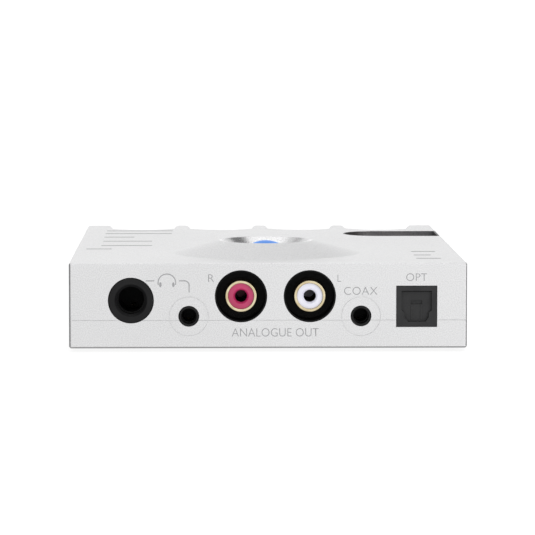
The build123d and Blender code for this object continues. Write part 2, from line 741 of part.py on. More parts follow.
def optical_receiver_body():
    """The moulded optical socket, with the cavity that takes the plug."""
    body = block(
        about(OPTICAL_X, OPTICAL_WIDTH / 2),
        (FRONT, FRONT + OPTICAL_LENGTH),
        about(OPTICAL_Z, OPTICAL_HEIGHT / 2),
    )
    body = fillet(body.edges().filter_by(Axis.Y), 0.3)
    body = chamfer(body.edges().group_by(Axis.Y)[0], 0.15)
    body -= optical_mouth()
    body -= block(
        about(OPTICAL_X, OPTICAL_CAVITY_HALF),
        (FRONT + OPTICAL_LIP, FRONT + OPTICAL_CAVITY_DEPTH),
        (OPTICAL_CAVITY_LOW, OPTICAL_CAVITY_HIGH),
    )
    body -= optical_sensor_form(FIT)
    body -= lying(OPTICAL_X, OPTICAL_Z, 1.2, FRONT + OPTICAL_LIP, FRONT + OPTICAL_LENGTH)
    pin_reach = OPTICAL_WIDTH / 2 - 0.4
    return body - crosswise(
        SHUTTER_PIN_Y,
        SHUTTER_PIN_Z,
        SHUTTER_PIN_RADIUS + FIT,
        OPTICAL_X - pin_reach,
        OPTICAL_X + pin_reach,
    )


def optical_sensor_form(grow):
    """The sensor's block behind the cavity, or its pocket when grown."""
    return block(
        about(OPTICAL_X, 2.6 + grow),
        (FRONT + OPTICAL_CAVITY_DEPTH + 1.0, FRONT + OPTICAL_LENGTH + grow),
        about(OPTICAL_Z, 2.6 + grow),
    )


def optical_shutter():
    """The spring flap, with its knuckle, its notch and the rib down its middle."""
    half = OPTICAL_CAVITY_HALF - 0.12
    low = OPTICAL_CAVITY_LOW + 0.2
    face_y = FRONT + OPTICAL_LIP + 0.1
    plate = block(
        about(OPTICAL_X, half), (face_y, face_y + SHUTTER_THICKNESS), (low, SHUTTER_PIN_Z)
    )
    plate += crosswise(
        SHUTTER_PIN_Y, SHUTTER_PIN_Z, SHUTTER_KNUCKLE_RADIUS, OPTICAL_X - half, OPTICAL_X + half
    )
    hole = SHUTTER_PIN_RADIUS + AXLE_CLEARANCE
    reach = half + PAST
    plate -= crosswise(SHUTTER_PIN_Y, SHUTTER_PIN_Z, hole, OPTICAL_X - reach, OPTICAL_X + reach)
    notch_half, notch_low, notch_high, notch_depth = 1.42, 11.95, 12.95, 0.45
    notch = (notch_low, notch_high)
    plate -= block(about(OPTICAL_X, notch_half), (face_y - PAST, face_y + notch_depth), notch)
    rib_offset, rib_half, rib_proud, rib_low = 1.2, 0.22, 0.15, OPTICAL_MOUTH_LOW + 0.5
    for side in (-1, 1):
        rib_x = about(OPTICAL_X + side * rib_offset, rib_half)
        plate += block(rib_x, (face_y - rib_proud, face_y), (rib_low, notch_low))
    spring_gap = block(about(OPTICAL_X, 1.2), (face_y + 0.3, FRONT + 3.0), (13.9, TOP))
    return plate - spring_gap


def shutter_pin():
    """The wire that the flap swings on."""
    reach = OPTICAL_WIDTH / 2 - 0.45
    return crosswise(
        SHUTTER_PIN_Y, SHUTTER_PIN_Z, SHUTTER_PIN_RADIUS, OPTICAL_X - reach, OPTICAL_X + reach
    )


def shutter_spring():
    """The small spring round the pin, in the gap of the flap's knuckle, as plain coils."""
    coils = []
    pitch, wire = 0.36, 0.28
    for number in range(-2, 3):
        x = OPTICAL_X + number * pitch
        ring = crosswise(SHUTTER_PIN_Y, SHUTTER_PIN_Z, 0.62, x - wire / 2, x + wire / 2)
        hole = SHUTTER_PIN_RADIUS + AXLE_CLEARANCE
        ring -= crosswise(SHUTTER_PIN_Y, SHUTTER_PIN_Z, hole, x - wire, x + wire)
        coils.append(ring)
    return group(coils)


def usb_socket(x):
    """The folded steel shell of a micro USB socket."""
    near = REAR - 0.4 - USB_LENGTH
    shell = usb_form(x, 0, near, REAR - 0.4)
    inner = block(
        about(x, USB_WIDTH / 2 - USB_SHEET),
        (near + USB_SHEET, REAR + PAST),
        (BOARD_TOP + USB_SHEET, BOARD_TOP + USB_HEIGHT - USB_SHEET),
    )
    return shell - fillet(inner.edges().filter_by(Axis.Y), 0.35)


def usb_tongue(x):
    """The contact tongue inside a micro USB socket."""
    near = REAR - 0.4 - USB_LENGTH + USB_SHEET
    middle_z = BOARD_TOP + USB_HEIGHT / 2 + 0.25
    return block(about(x, 2.2), (near, REAR - 1.4), about(middle_z, 0.3))


def charge_light_pipe():
    """The clear peg that shows the charge light in the rear face."""
    pipe = lying(
        CHARGE_LIGHT_X,
        CHARGE_LIGHT_Z,
        CHARGE_LIGHT_RADIUS,
        INSIDE_REAR - 1.5,
        REAR + PROUD_OF_FACE,
    )
    return fillet(pipe.edges().filter_by(GeomType.CIRCLE).sort_by(Axis.Y)[-1], 0.2)


# ---- Board and what stands on it ----------------------------------------------------


def main_board():
    """The circuit board, cleared round the case screws and drilled for its own."""
    board = block(
        about(0, INSIDE_X - BOARD_EDGE),
        (INSIDE_FRONT + BOARD_EDGE, INSIDE_REAR - BOARD_EDGE),
        (BOARD_BOTTOM, BOARD_TOP),
    )
    for x, y in CASE_SCREW_PLACES:
        board -= upright(x, y, BOSS_RADIUS + BOARD_EDGE, 0, SEAM)
    for x, y in BOARD_SCREW_PLACES:
        board -= upright(x, y, BOARD_SCREW_RADIUS + AXLE_CLEARANCE, 0, SEAM)
    return board


BOARD_SCREW_RADIUS = 0.95


def board_standoff(x, y):
    """One threaded pillar between the tray floor and the board."""
    pillar = upright(x, y, 2.3, BASE + FLOOR, BOARD_BOTTOM)
    return pillar - upright(x, y, BOARD_SCREW_RADIUS + FIT, BASE, BOARD_TOP)


def board_screw(x, y):
    """One pan-head board screw with its slot."""
    head_top = BOARD_TOP + 1.1
    screw = upright(x, y, 1.8, BOARD_TOP, head_top)
    screw += upright(x, y, BOARD_SCREW_RADIUS, BASE + FLOOR + 0.2, BOARD_TOP)
    return screw - block(about(x, 1.3), about(y, 0.2), (head_top - 0.5, head_top + PAST))


def board_parts(sizes, places):
    """Flat parts of one size on the board, at each place."""
    half_x, half_y, height = sizes
    return group(
        block(about(x, half_x), about(y, half_y), (BOARD_TOP, BOARD_TOP + height))
        for x, y in places
    )


def capacitor(x, y):
    """One round capacitor with the groove near its top."""
    radius, height = 3.1, 8.0
    can = upright(x, y, radius, BOARD_TOP, BOARD_TOP + height)
    groove = upright(x, y, radius + PAST, BOARD_TOP + 1.4, BOARD_TOP + 1.8)
    return can - (groove - upright(x, y, radius - 0.3, BOARD_TOP, BOARD_TOP + height))


def inductor(x, y):
    """One wound inductor: a core between two cheeks."""
    coil = upright(x, y, 2.2, BOARD_TOP, BOARD_TOP + 3.6)
    coil += upright(x, y, 3.0, BOARD_TOP, BOARD_TOP + 0.8)
    return coil + upright(x, y, 3.0, BOARD_TOP + 2.8, BOARD_TOP + 3.6)


# ---- Battery ------------------------------------------------------------------------


def cell_limits(side, start, grow):
    """The plan limits of one battery cell on one side, grown outwards."""
    middle = side * (CELL_INNER_X + CELL_WIDTH / 2)
    return about(middle, CELL_WIDTH / 2 + grow), (start - grow, start + CELL_LENGTH + grow)


def battery_cell(side, start):
    """One wrapped battery cell with rounded long edges."""
    x_limits, y_limits = cell_limits(side, start, 0)
    cell = block(x_limits, y_limits, (CELL_BOTTOM, CELL_TOP))
    return fillet(cell.edges().filter_by(Axis.Y), 2.0)


def battery_cradle(side, start):
    """The open tray that carries one cell above the board, on four pegs."""
    wall, rim_top, floor_bottom = 0.8, 13.0, 8.4
    x_limits, y_limits = cell_limits(side, start, wall)
    cradle = block(x_limits, y_limits, (floor_bottom, rim_top))
    x_inner, y_inner = cell_limits(side, start, 0.05)
    cradle -= block(x_inner, y_inner, (CELL_BOTTOM, rim_top + PAST))
    for x in x_limits:
        inward = 3.0 if x == x_limits[0] else -3.0
        for y in (start + 3.0, start + CELL_LENGTH - 3.0):
            cradle += upright(x + inward, y, 1.4, BOARD_TOP, floor_bottom)
    return cradle


def battery_pad(side, start):
    """The foam pad between one cell and the roof."""
    x_limits, y_limits = cell_limits(side, start, -5.0)
    return block(x_limits, y_limits, (CELL_TOP, CEILING))


# ---- The assembly -------------------------------------------------------------------


def build():
    """Every node of the assembly, by name."""
    case = whole_case()
    upper = upper_case(case)
    large_jack = (LARGE_JACK_X, LARGE_JACK_Z, LARGE_JACK_BORE_RADIUS, LARGE_JACK_LENGTH)
    small_jack = (SMALL_JACK_Z, SMALL_JACK_BORE_RADIUS, SMALL_JACK_LENGTH)
    nodes = {
        "top_shell": upper - socket_wall_room(),
        "socket_wall": upper & socket_wall_room(),
        "base_tray": base_tray(case),
        "case_screws": group(case_screw(x, y) for x, y in CASE_SCREW_PLACES),
        "rubber_feet": group(rubber_foot(x, y) for x, y in FOOT_PLACES),
        "window_lens": window_lens(),
        "window_gasket": window_gasket(),
        "window_retaining_ring": window_retaining_ring(),
        "window_screws": group(window_screw(x, y) for x, y in window_screw_places()),
        "light_guide": light_guide(),
        "status_leds": group(
            status_led(x, WINDOW_Y + y) for x in (-1.4, 1.4) for y in (-1.4, 1.4)
        ),
        "volume_ball": volume_ball(),
        "volume_axle": volume_axle(),
        "volume_well": volume_well(),
        "volume_bracket": volume_bracket(),
        "volume_encoder_disc": volume_encoder_disc(),
        "volume_encoder_sensor": volume_encoder_sensor(),
        "button_switches": group(button_switch(x) for x in BUTTON_X),
        "large_jack_body": large_jack_body(),
        "large_jack_bush": large_jack_bush(),
        "large_jack_contacts": jack_contacts(*large_jack),
        "small_jack_body": small_jack_body(SMALL_JACK_X),
        "small_jack_contacts": jack_contacts(SMALL_JACK_X, *small_jack),
        "coax_jack_body": small_jack_body(COAX_JACK_X),
        "coax_jack_contacts": jack_contacts(COAX_JACK_X, *small_jack),
        "rca_centre_contacts": group(
            rca_centre_contact(x) for x in (RCA_RIGHT_X, RCA_LEFT_X)
        ),
        "optical_receiver_body": optical_receiver_body(),
        "optical_sensor": optical_sensor_form(0),
        "optical_shutter": optical_shutter(),
        "shutter_pin": shutter_pin(),
        "shutter_spring": shutter_spring(),
        "usb_tongues": group(usb_tongue(x) for x in USB_PLACES.values()),
        "charge_light_pipe": charge_light_pipe(),
        "main_board": main_board(),
        "board_standoffs": group(board_standoff(x, y) for x, y in BOARD_SCREW_PLACES),
        "board_screws": group(board_screw(x, y) for x, y in BOARD_SCREW_PLACES),
        "processor_chip": board_parts((8.5, 8.5, 1.5), [(0, 2.0)]),
        "memory_chips": board_parts((2.6, 2.0, 1.4), [(-8.0, 20.0), (2.0, 20.0)]),
        "crystal_oscillators": board_parts((2.5, 1.6, 1.2), [(-3.0, -12.5), (4.0, -12.5)]),
        "output_transistors": board_parts(
            (1.6, 2.2, 1.8), [(-14.0 + 5.0 * number, 29.0) for number in range(4)]
        ),
        "filter_capacitors": group(capacitor(-42.0 + 8.0 * n, 42.0) for n in range(6)),
        "power_inductors": group(inductor(6.0, 43.0 - 8.0 * n) for n in range(3)),
        "battery_cradles": group(battery_cradle(*cell) for cell in CELL_STARTS.values()),
        "battery_pads": group(battery_pad(*cell) for cell in CELL_STARTS.values()),
    }
    for name, x in zip(BUTTON_NAMES, BUTTON_X):
        nodes[name] = ball_button(x)
    for side, x in (("right", RCA_RIGHT_X), ("left", RCA_LEFT_X)):
        nodes[f"rca_housing_{side}"] = rca_housing(x)
        nodes[f"rca_barrel_{side}"] = rca_barrel(x)
        nodes[f"rca_insulator_{side}"] = rca_insulator(x)
    for name, x in USB_PLACES.items():
        nodes[name] = usb_socket(x)
    for name, cell in CELL_STARTS.items():
        nodes[name] = battery_cell(*cell)
    return nodes


os.makedirs("parts", exist_ok=True)
for node_name, shape in build().items():
    export_step(shape, f"parts/{node_name}.step")
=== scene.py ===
"""Looks of a small desktop converter: its finishes, marks, trim and studio."""

import logging
import math
from collections.abc import Callable, Sequence
from dataclasses import dataclass, field
from enum import Enum

import bpy
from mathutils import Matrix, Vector


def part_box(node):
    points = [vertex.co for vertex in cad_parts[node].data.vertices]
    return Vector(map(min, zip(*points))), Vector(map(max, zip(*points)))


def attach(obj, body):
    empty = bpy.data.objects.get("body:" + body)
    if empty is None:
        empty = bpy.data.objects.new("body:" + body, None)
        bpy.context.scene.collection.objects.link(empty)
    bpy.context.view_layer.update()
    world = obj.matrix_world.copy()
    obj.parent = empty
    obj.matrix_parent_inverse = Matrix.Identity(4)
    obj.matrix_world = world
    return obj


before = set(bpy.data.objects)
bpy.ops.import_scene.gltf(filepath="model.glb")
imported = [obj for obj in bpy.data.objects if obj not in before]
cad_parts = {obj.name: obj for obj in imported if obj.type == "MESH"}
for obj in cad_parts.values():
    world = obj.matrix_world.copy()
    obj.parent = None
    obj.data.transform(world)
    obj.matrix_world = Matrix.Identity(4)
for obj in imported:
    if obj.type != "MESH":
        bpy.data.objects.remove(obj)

log = logging.getLogger("desktop_converter")
MM = 0.001
# a scale in metres at which the height of a point hardly counts
ANY_HEIGHT = 10.0
Colour = tuple[float, float, float]
Point = tuple[float, float]


# ---- Finishes -----------------------------------------------------------------------


@dataclass(frozen=True)
class BlastedFinish:
    """A bead-blasted skin, and the bowl in it that is turned bright."""

    name: str
    tone: Colour
    shade: Colour
    roughness: float
    marks_per_metre: float
    dimple_depth: float
    bowl_centre: Point = (0.0, 0.0)
    bowl_radius: float = 0.0001
    bowl_roughness: float = 0.27


@dataclass(frozen=True)
class PlasticFinish:
    """A moulded plastic: its two tones, its gloss, and the grain of its mould."""

    name: str
    tone: Colour
    shade: Colour
    roughness: float
    grain_per_metre: float
    grain_depth: float
    coat: float = 0.0
    specular: float = 0.5


@dataclass(frozen=True)
class MetalFinish:
    """A turned, drawn or plated metal: its two tones, gloss and tool marks."""

    name: str
    tone: Colour
    shade: Colour
    roughness: float
    mark_stretch: tuple[float, float, float]
    mark_depth: float


@dataclass(frozen=True)
class ClearFinish:
    """A clear moulding: its tint, its gloss and how strongly it glows."""

    name: str
    tint: Colour
    roughness: float
    transmission: float
    glow: Colour
    glow_strength: float


@dataclass(frozen=True)
class SoftFinish:
    """Rubber or foam: its tone, the painted shade in its pores, its gloss, and the size
    of its cells.
    """

    name: str
    tone: Colour
    shade: Colour
    roughness: float
    cells_per_metre: float
    cell_depth: float


@dataclass(frozen=True)
class InkFinish:
    """A printed mark: its two tones and how patchy it prints."""

    name: str
    tone: Colour
    shade: Colour
    roughness: float


def blasted_aluminium(finish: BlastedFinish) -> bpy.types.Material:
    """Makes the skin of the case: fine dimples, a speckle and a slow drift of tone.

    Args:
        finish: The tones, gloss and bead marks of this skin.

    Returns:
        The material, ready to be put on a piece.
    """
    material = bpy.data.materials.new(finish.name)
    material.use_nodes = True
    nodes, links = material.node_tree.nodes, material.node_tree.links
    nodes.clear()

    tone_frame = nodes.new("NodeFrame")
    tone_frame.label = "Tone of the anodised skin"
    tone_frame.location = (-900, 420)
    dimple_frame = nodes.new("NodeFrame")
    dimple_frame.label = "Dimples left by the beads"
    dimple_frame.location = (-900, -320)

    place = nodes.new("ShaderNodeTexCoord")
    place.label = "Place on the case"
    place.location = (-1150, 0)

    speckle = nodes.new("ShaderNodeTexNoise")
    speckle.label = "Speckle of single bead marks"
    speckle.location = (-880, 400)
    speckle.parent = tone_frame
    speckle.inputs["Scale"].default_value = finish.marks_per_metre
    speckle.inputs["Detail"].default_value = 2.0

    speckle_tone = nodes.new("ShaderNodeValToRGB")
    speckle_tone.label = "Silver between and in the marks"
    speckle_tone.location = (-660, 400)
    speckle_tone.parent = tone_frame
    speckle_tone.color_ramp.elements[0].position = 0.3
    speckle_tone.color_ramp.elements[0].color = (*finish.shade, 1.0)
    speckle_tone.color_ramp.elements[1].position = 0.7
    speckle_tone.color_ramp.elements[1].color = (*finish.tone, 1.0)

    drift = nodes.new("ShaderNodeTexNoise")
    drift.label = "Slow drift of the anodising"
    drift.location = (-880, 160)
    drift.parent = tone_frame
    drift.inputs["Scale"].default_value = 28.0
    drift.inputs["Detail"].default_value = 1.0

    drift_level = nodes.new("ShaderNodeMapRange")
    drift_level.label = "How far the tone drifts"
    drift_level.location = (-660, 160)
    drift_level.parent = tone_frame
    drift_level.inputs["From Min"].default_value = 0.3
    drift_level.inputs["From Max"].default_value = 0.7
    drift_level.inputs["To Min"].default_value = 0.975
    drift_level.inputs["To Max"].default_value = 1.0

    skin_tone = nodes.new("ShaderNodeVectorMath")
    skin_tone.label = "Speckle dimmed by the drift"
    skin_tone.location = (-380, 320)
    skin_tone.parent = tone_frame
    skin_tone.operation = "SCALE"

    dimples = nodes.new("ShaderNodeTexNoise")
    dimples.label = "Beads at full size"
    dimples.location = (-880, -320)
    dimples.parent = dimple_frame
    dimples.inputs["Scale"].default_value = finish.marks_per_metre * 0.8
    dimples.inputs["Detail"].default_value = 3.0

    dimple_gloss = nodes.new("ShaderNodeMapRange")
    dimple_gloss.label = "Gloss between the dimples"
    dimple_gloss.location = (-600, -220)
    dimple_gloss.parent = dimple_frame
    dimple_gloss.inputs["From Min"].default_value = 0.3
    dimple_gloss.inputs["From Max"].default_value = 0.7
    dimple_gloss.inputs["To Min"].default_value = finish.roughness - 0.03
    dimple_gloss.inputs["To Max"].default_value = finish.roughness + 0.03

    relief = nodes.new("ShaderNodeBump")
    relief.label = "Depth of the dimples"
    relief.location = (-360, -460)
    relief.parent = dimple_frame
    relief.inputs["Distance"].default_value = finish.dimple_depth

    bowl_frame = nodes.new("NodeFrame")
    bowl_frame.label = "Bowl turned bright round the window"
    bowl_frame.location = (-1100, -760)

    from_bowl = nodes.new("ShaderNodeMapping")
    from_bowl.label = "Measured from the bowl's axis"
    from_bowl.location = (-1100, -760)
    from_bowl.parent = bowl_frame
    from_bowl.vector_type = "TEXTURE"
    from_bowl.inputs["Location"].default_value = (*finish.bowl_centre, 0.0)
    from_bowl.inputs["Scale"].default_value = (
        finish.bowl_radius,
        finish.bowl_radius,
        ANY_HEIGHT,
    )

    bowl = nodes.new("ShaderNodeTexGradient")
    bowl.label = "Distance inside the bowl's rim"
    bowl.location = (-880, -760)
    bowl.parent = bowl_frame
    bowl.gradient_type = "SPHERICAL"

    bowl_edge = nodes.new("ShaderNodeMapRange")
    bowl_edge.label = "Inside or outside the rim"
    bowl_edge.location = (-660, -760)
    bowl_edge.parent = bowl_frame
    bowl_edge.inputs["From Max"].default_value = 0.05

    skin_gloss = nodes.new("ShaderNodeMix")
    skin_gloss.label = "Blasted or turned gloss"
    skin_gloss.location = (-360, -220)
    skin_gloss.data_type = "FLOAT"
    skin_gloss.inputs["B"].default_value = finish.bowl_roughness

    dimple_share = nodes.new("ShaderNodeMapRange")
    dimple_share.label = "No dimples in the bowl"
    dimple_share.location = (-600, -480)
    dimple_share.parent = dimple_frame
    dimple_share.inputs["To Min"].default_value = 0.35
    dimple_share.inputs["To Max"].default_value = 0.03

    skin = nodes.new("ShaderNodeBsdfPrincipled")
    skin.label = "Anodised aluminium"
    skin.location = (-100, 100)
    skin.inputs["Metallic"].default_value = 1.0

    output = nodes.new("ShaderNodeOutputMaterial")
    output.label = "Surface of the case"
    output.location = (220, 100)

    links.new(place.outputs["Object"], speckle.inputs["Vector"])
    links.new(place.outputs["Object"], drift.inputs["Vector"])
    links.new(place.outputs["Object"], dimples.inputs["Vector"])
    links.new(speckle.outputs["Fac"], speckle_tone.inputs["Fac"])
    links.new(drift.outputs["Fac"], drift_level.inputs["Value"])
    links.new(speckle_tone.outputs["Color"], skin_tone.inputs[0])
    links.new(drift_level.outputs["Result"], skin_tone.inputs["Scale"])
    links.new(skin_tone.outputs["Vector"], skin.inputs["Base Color"])
    links.new(place.outputs["Object"], from_bowl.inputs["Vector"])
    links.new(from_bowl.outputs["Vector"], bowl.inputs["Vector"])
    links.new(bowl.outputs["Fac"], bowl_edge.inputs["Value"])
    links.new(dimples.outputs["Fac"], dimple_gloss.inputs["Value"])
    links.new(bowl_edge.outputs["Result"], skin_gloss.inputs["Factor"])
    links.new(dimple_gloss.outputs["Result"], skin_gloss.inputs["A"])
    links.new(skin_gloss.outputs["Result"], skin.inputs["Roughness"])
    links.new(bowl_edge.outputs["Result"], dimple_share.inputs["Value"])
    links.new(dimple_share.outputs["Result"], relief.inputs["Strength"])
    links.new(dimples.outputs["Fac"], relief.inputs["Height"])
    links.new(relief.outputs["Normal"], skin.inputs["Normal"])
    links.new(skin.outputs["BSDF"], output.inputs["Surface"])
    return material


def moulded_plastic(finish: PlasticFinish) -> bpy.types.Material:
    """Makes a moulded plastic with the grain of its mould and a cloudy tone.

    Args:
        finish: The tones, gloss and grain of this moulding.

    Returns:
        The material, ready to be put on a piece.
    """
    material = bpy.data.materials.new(finish.name)
    material.use_nodes = True
    nodes, links = material.node_tree.nodes, material.node_tree.links
    nodes.clear()

    tone_frame = nodes.new("NodeFrame")
    tone_frame.label = "Tone of the resin"
    tone_frame.location = (-900, 320)
    grain_frame = nodes.new("NodeFrame")
    grain_frame.label = "Grain of the mould"
    grain_frame.location = (-900, -220)

    place = nodes.new("ShaderNodeTexCoord")
    place.label = "Place on the moulding"
    place.location = (-1100, 0)

    flow = nodes.new("ShaderNodeTexNoise")
    flow.label = "Flow of the resin"
    flow.location = (-840, 300)
    flow.parent = tone_frame
    flow.inputs["Scale"].default_value = 260.0
    flow.inputs["Detail"].default_value = 3.0

    flow_tone = nodes.new("ShaderNodeValToRGB")
    flow_tone.label = "Tone along the flow"
    flow_tone.location = (-620, 300)
    flow_tone.parent = tone_frame
    flow_tone.color_ramp.elements[0].position = 0.32
    flow_tone.color_ramp.elements[0].color = (*finish.shade, 1.0)
    flow_tone.color_ramp.elements[1].position = 0.68
    flow_tone.color_ramp.elements[1].color = (*finish.tone, 1.0)

    grain = nodes.new("ShaderNodeTexNoise")
    grain.label = "Spark grain of the tool"
    grain.location = (-840, -200)
    grain.parent = grain_frame
    grain.inputs["Scale"].default_value = finish.grain_per_metre
    grain.inputs["Detail"].default_value = 3.0

    grain_gloss = nodes.new("ShaderNodeMapRange")
    grain_gloss.label = "Gloss over the grain"
    grain_gloss.location = (-600, -100)
    grain_gloss.parent = grain_frame
    grain_gloss.inputs["From Min"].default_value = 0.3
    grain_gloss.inputs["From Max"].default_value = 0.7
    grain_gloss.inputs["To Min"].default_value = finish.roughness - 0.05
    grain_gloss.inputs["To Max"].default_value = finish.roughness + 0.05

    relief = nodes.new("ShaderNodeBump")
    relief.label = "Depth of the grain"
    relief.location = (-600, -360)
    relief.parent = grain_frame
    relief.inputs["Strength"].default_value = 0.4
    relief.inputs["Distance"].default_value = finish.grain_depth

    resin = nodes.new("ShaderNodeBsdfPrincipled")
    resin.label = "Moulded resin"
    resin.location = (-200, 100)
    resin.inputs["IOR"].default_value = 1.5
    resin.inputs["Specular IOR Level"].default_value = finish.specular
    resin.inputs["Coat Weight"].default_value = finish.coat
    resin.inputs["Coat Roughness"].default_value = 0.12

    output = nodes.new("ShaderNodeOutputMaterial")
    output.label = "Surface of the moulding"
    output.location = (120, 100)

    links.new(place.outputs["Object"], flow.inputs["Vector"])
    links.new(place.outputs["Object"], grain.inputs["Vector"])
    links.new(flow.outputs["Fac"], flow_tone.inputs["Fac"])
    links.new(flow_tone.outputs["Color"], resin.inputs["Base Color"])
    links.new(grain.outputs["Fac"], grain_gloss.inputs["Value"])
    links.new(grain_gloss.outputs["Result"], resin.inputs["Roughness"])
    links.new(grain.outputs["Fac"], relief.inputs["Height"])
    links.new(relief.outputs["Normal"], resin.inputs["Normal"])
    links.new(resin.outputs["BSDF"], output.inputs["Surface"])
    return material


def worked_metal(finish: MetalFinish) -> bpy.types.Material:
    """Makes a turned, drawn or plated metal with its tool marks and a faint tarnish.

    Args:
        finish: The tones, gloss and tool marks of this metal.

    Returns:
        The material, ready to be put on a piece.
    """
    material = bpy.data.materials.new(finish.name)
    material.use_nodes = True
    nodes, links = material.node_tree.nodes, material.node_tree.links
    nodes.clear()

    tone_frame = nodes.new("NodeFrame")
    tone_frame.label = "Tarnish"
    tone_frame.location = (-900, 320)
    mark_frame = nodes.new("NodeFrame")
    mark_frame.label = "Tool marks"
    mark_frame.location = (-900, -220)

    place = nodes.new("ShaderNodeTexCoord")
    place.label = "Place on the metal"
    place.location = (-1320, 0)

    tarnish = nodes.new("ShaderNodeTexNoise")
    tarnish.label = "Patches of tarnish"
    tarnish.location = (-840, 300)
    tarnish.parent = tone_frame
    tarnish.inputs["Scale"].default_value = 420.0
    tarnish.inputs["Detail"].default_value = 4.0

    tarnish_tone = nodes.new("ShaderNodeValToRGB")
    tarnish_tone.label = "Bright and tarnished metal"
    tarnish_tone.location = (-620, 300)
    tarnish_tone.parent = tone_frame
    tarnish_tone.color_ramp.elements[0].position = 0.3
    tarnish_tone.color_ramp.elements[0].color = (*finish.shade, 1.0)
    tarnish_tone.color_ramp.elements[1].position = 0.62
    tarnish_tone.color_ramp.elements[1].color = (*finish.tone, 1.0)

    along = nodes.new("ShaderNodeMapping")
    along.label = "Marks drawn out along the work"
    along.location = (-1080, -200)
    along.parent = mark_frame
    along.inputs["Scale"].default_value = finish.mark_stretch

    marks = nodes.new("ShaderNodeTexNoise")
    marks.label = "Lines of the tool"
    marks.location = (-840, -200)
    marks.parent = mark_frame
    marks.inputs["Scale"].default_value = 1.0
    marks.inputs["Detail"].default_value = 3.0

    mark_gloss = nodes.new("ShaderNodeMapRange")
    mark_gloss.label = "Gloss across the lines"
    mark_gloss.location = (-600, -100)
    mark_gloss.parent = mark_frame
    mark_gloss.inputs["From Min"].default_value = 0.3
    mark_gloss.inputs["From Max"].default_value = 0.7
    mark_gloss.inputs["To Min"].default_value = finish.roughness * 0.75
    mark_gloss.inputs["To Max"].default_value = finish.roughness * 1.25

    relief = nodes.new("ShaderNodeBump")
    relief.label = "Depth of the lines"
    relief.location = (-600, -360)
    relief.parent = mark_frame
    relief.inputs["Strength"].default_value = 0.3
    relief.inputs["Distance"].default_value = finish.mark_depth

    metal = nodes.new("ShaderNodeBsdfPrincipled")
    metal.label = "Worked metal"
    metal.location = (-200, 100)
    metal.inputs["Metallic"].default_value = 1.0

    output = nodes.new("ShaderNodeOutputMaterial")
    output.label = "Surface of the metal"
    output.location = (120, 100)

    links.new(place.outputs["Object"], tarnish.inputs["Vector"])
    links.new(place.outputs["Object"], along.inputs["Vector"])
    links.new(along.outputs["Vector"], marks.inputs["Vector"])
    links.new(tarnish.outputs["Fac"], tarnish_tone.inputs["Fac"])
    links.new(tarnish_tone.outputs["Color"], metal.inputs["Base Color"])
    links.new(marks.outputs["Fac"], mark_gloss.inputs["Value"])
    links.new(mark_gloss.outputs["Result"], metal.inputs["Roughness"])
    links.new(marks.outputs["Fac"], relief.inputs["Height"])
    links.new(relief.outputs["Normal"], metal.inputs["Normal"])
    links.new(metal.outputs["BSDF"], output.inputs["Surface"])
    return material


def clear_moulding(finish: ClearFinish) -> bpy.types.Material:
    """Makes a clear plastic with faint flow lines, lit from within where it glows.

    Args:
        finish: The tint, gloss and glow of this moulding.

    Returns:
        The material, ready to be put on a piece.
    """
    material = bpy.data.materials.new(finish.name)
    material.use_nodes = True
    nodes, links = material.node_tree.nodes, material.node_tree.links
    nodes.clear()

    body_frame = nodes.new("NodeFrame")
    body_frame.label = "Haze in the resin"
    body_frame.location = (-900, 220)

    place = nodes.new("ShaderNodeTexCoord")
    place.label = "Place on the moulding"
    place.location = (-1100, 0)

    haze = nodes.new("ShaderNodeTexNoise")
    haze.label = "Clouds of haze"
    haze.location = (-840, 200)
    haze.parent = body_frame
    haze.inputs["Scale"].default_value = 600.0
    haze.inputs["Detail"].default_value = 3.0

    haze_tint = nodes.new("ShaderNodeValToRGB")
    haze_tint.label = "Clear and hazy tint"
    haze_tint.location = (-620, 200)
    haze_tint.parent = body_frame
    haze_tint.color_ramp.elements[0].position = 0.35
    deeper = [0.92 * part for part in finish.tint]
    haze_tint.color_ramp.elements[0].color = (*deeper, 1.0)
    haze_tint.color_ramp.elements[1].position = 0.65
    haze_tint.color_ramp.elements[1].color = (*finish.tint, 1.0)

    haze_gloss = nodes.new("ShaderNodeMapRange")
    haze_gloss.label = "Gloss over the haze"
    haze_gloss.location = (-600, -100)
    haze_gloss.parent = body_frame
    haze_gloss.inputs["To Min"].default_value = finish.roughness * 0.6
    haze_gloss.inputs["To Max"].default_value = finish.roughness * 1.4

    resin = nodes.new("ShaderNodeBsdfPrincipled")
    resin.label = "Clear resin"
    resin.location = (-200, 100)
    resin.inputs["IOR"].default_value = 1.49
    resin.inputs["Transmission Weight"].default_value = finish.transmission
    resin.inputs["Emission Color"].default_value = (*finish.glow, 1.0)
    resin.inputs["Emission Strength"].default_value = finish.glow_strength

    output = nodes.new("ShaderNodeOutputMaterial")
    output.label = "Surface of the moulding"
    output.location = (120, 100)

    links.new(place.outputs["Object"], haze.inputs["Vector"])
    links.new(haze.outputs["Fac"], haze_tint.inputs["Fac"])
    links.new(haze_tint.outputs["Color"], resin.inputs["Base Color"])
    links.new(haze.outputs["Fac"], haze_gloss.inputs["Value"])
    links.new(haze_gloss.outputs["Result"], resin.inputs["Roughness"])
    links.new(resin.outputs["BSDF"], output.inputs["Surface"])
    return material


